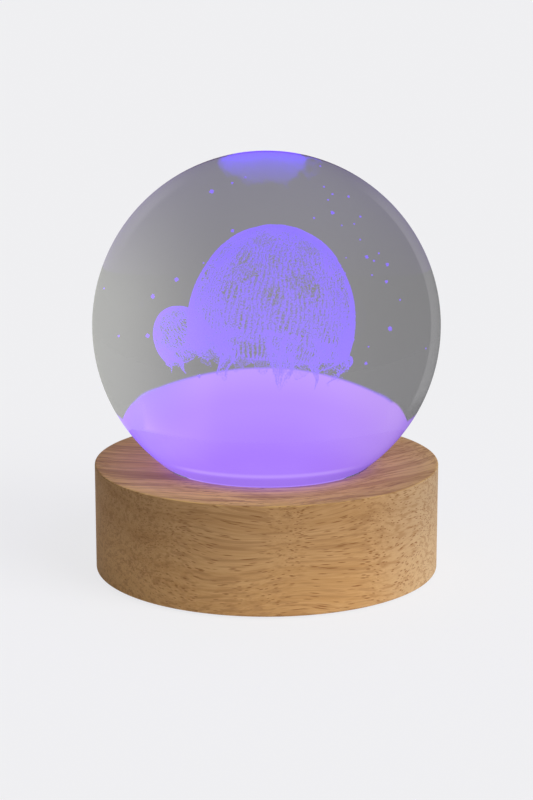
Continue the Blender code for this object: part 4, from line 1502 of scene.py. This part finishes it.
@dataclass
class Studio:
    """Pale floor, even pale surroundings, one broad soft lamp and the camera."""

    aim_height: float = 0.03982
    distance: float = 0.5
    pitch: float = 13.11
    focal: float = 96.98
    sensor: float = 36.0
    clip: Span = (0.01, 40.0)
    pale: Colour = (0.879, 0.879, 0.896)
    left_light: Colour = (0.165, 0.16, 0.155)
    right_light: Colour = (0.33, 0.33, 0.33)
    floor_size: float = 8.0
    floor_paint: Colour = (0.84, 0.84, 0.845)
    floor_share: float = 0.2
    floor_lift: Colour = (0.761, 0.761, 0.778)
    key_aside: float = 53.0
    key_up: float = 32.0
    key_power: float = 2.25
    key_width: float = 42.0

    def build(self) -> None:
        """Build the floor, the surroundings, the lamp and the camera."""
        bpy.context.scene.view_settings.view_transform = "Standard"
        self.build_floor()
        self.build_world()
        self.build_lamp()
        self.build_camera()

    def build_floor(self) -> None:
        """A level floor that keeps a light shadow, and looks as pale as what is round it."""
        corners = np.array([(-1, -1, 0), (1, -1, 0), (1, 1, 0), (-1, 1, 0)]) * self.floor_size
        mesh = bpy.data.meshes.new("floor")
        mesh.from_pydata(corners, [], [(0, 1, 2, 3)])
        material, g = new_material("pale_floor")
        speckle = g.ease(g.noise(g.place(), 900.0), 0.3, 0.7, 0.0, 0.02)
        paint = g.mix(speckle, self.floor_paint, dimmed(self.floor_paint, 0.9))
        bounced = g.add("BsdfDiffuse", {"Color": paint})
        seen = g.add("BsdfDiffuse", {"Color": dimmed(self.floor_paint, self.floor_share)})
        seen = g.add("AddShader", {0: seen, 1: g.add("Emission", {"Color": self.floor_lift})})
        g.end(g.both(g.add("LightPath", output="Is Diffuse Ray"), seen, bounced))
        mesh.materials.append(material)
        floor = put("floor", mesh)

    def build_world(self) -> None:
        """Pale where the camera, glass or metal sees it, and a soft light from the right."""
        world = bpy.data.worlds.new("studio")
        world.use_nodes = True
        world.node_tree.nodes.clear()
        bpy.context.scene.world = world
        g = Graph(world.node_tree)
        toward = g.split(g.add("TexCoord", output="Generated"))[0]
        light = g.mix(g.ease(toward, -1.0, 1.0), self.left_light, self.right_light)
        kinds = ("Camera", "Glossy", "Transmission")
        camera, glossy, through = (g.add("LightPath", output=f"Is {kind} Ray") for kind in kinds)
        seen = g.math("MINIMUM", camera + glossy + through, 1.0)
        background = g.add("Background", {"Color": g.mix(seen, light, self.pale), "Strength": 1.0})
        g.end(background, "OutputWorld")

    def build_lamp(self) -> None:
        """A broad lamp low at the front right."""
        lamp = bpy.data.lights.new("key", "SUN")
        lamp.energy = self.key_power
        lamp.angle = np.radians(self.key_width)
        placed = put("key", lamp)
        aside, up = np.radians(self.key_aside), np.radians(self.key_up)
        away = Vector((np.sin(aside) * np.cos(up), -np.cos(aside) * np.cos(up), np.sin(up)))
        placed.rotation_mode = "QUATERNION"
        placed.rotation_quaternion = away.to_track_quat("Z", "Y")
        placed.visible_glossy = False
        placed.visible_transmission = False

    def build_camera(self) -> None:
        """The camera looks at a point on the axis from the front, a little down."""
        data = bpy.data.cameras.new("camera")
        data.lens = self.focal
        data.sensor_width = self.sensor
        data.clip_start, data.clip_end = self.clip
        camera = put("camera", data)
        down = np.radians(self.pitch)
        back = Vector((0.0, -np.cos(down), np.sin(down)))
        camera.location = Vector((0.0, 0.0, self.aim_height)) + back * self.distance
        camera.rotation_mode = "QUATERNION"
        camera.rotation_quaternion = back.to_track_quat("Z", "Y")
        bpy.context.scene.camera = camera


def main() -> None:
    """Build the studio and the lamp's sub-assemblies in order."""
    logging.basicConfig(level=logging.INFO, format="%(message)s")
    back = Back()
    Studio().build()
    WoodenBase().build(back)
    Seat().build()
    GlassBall().build()
    Underside().build(back)


if __name__ == "__main__":
    main()
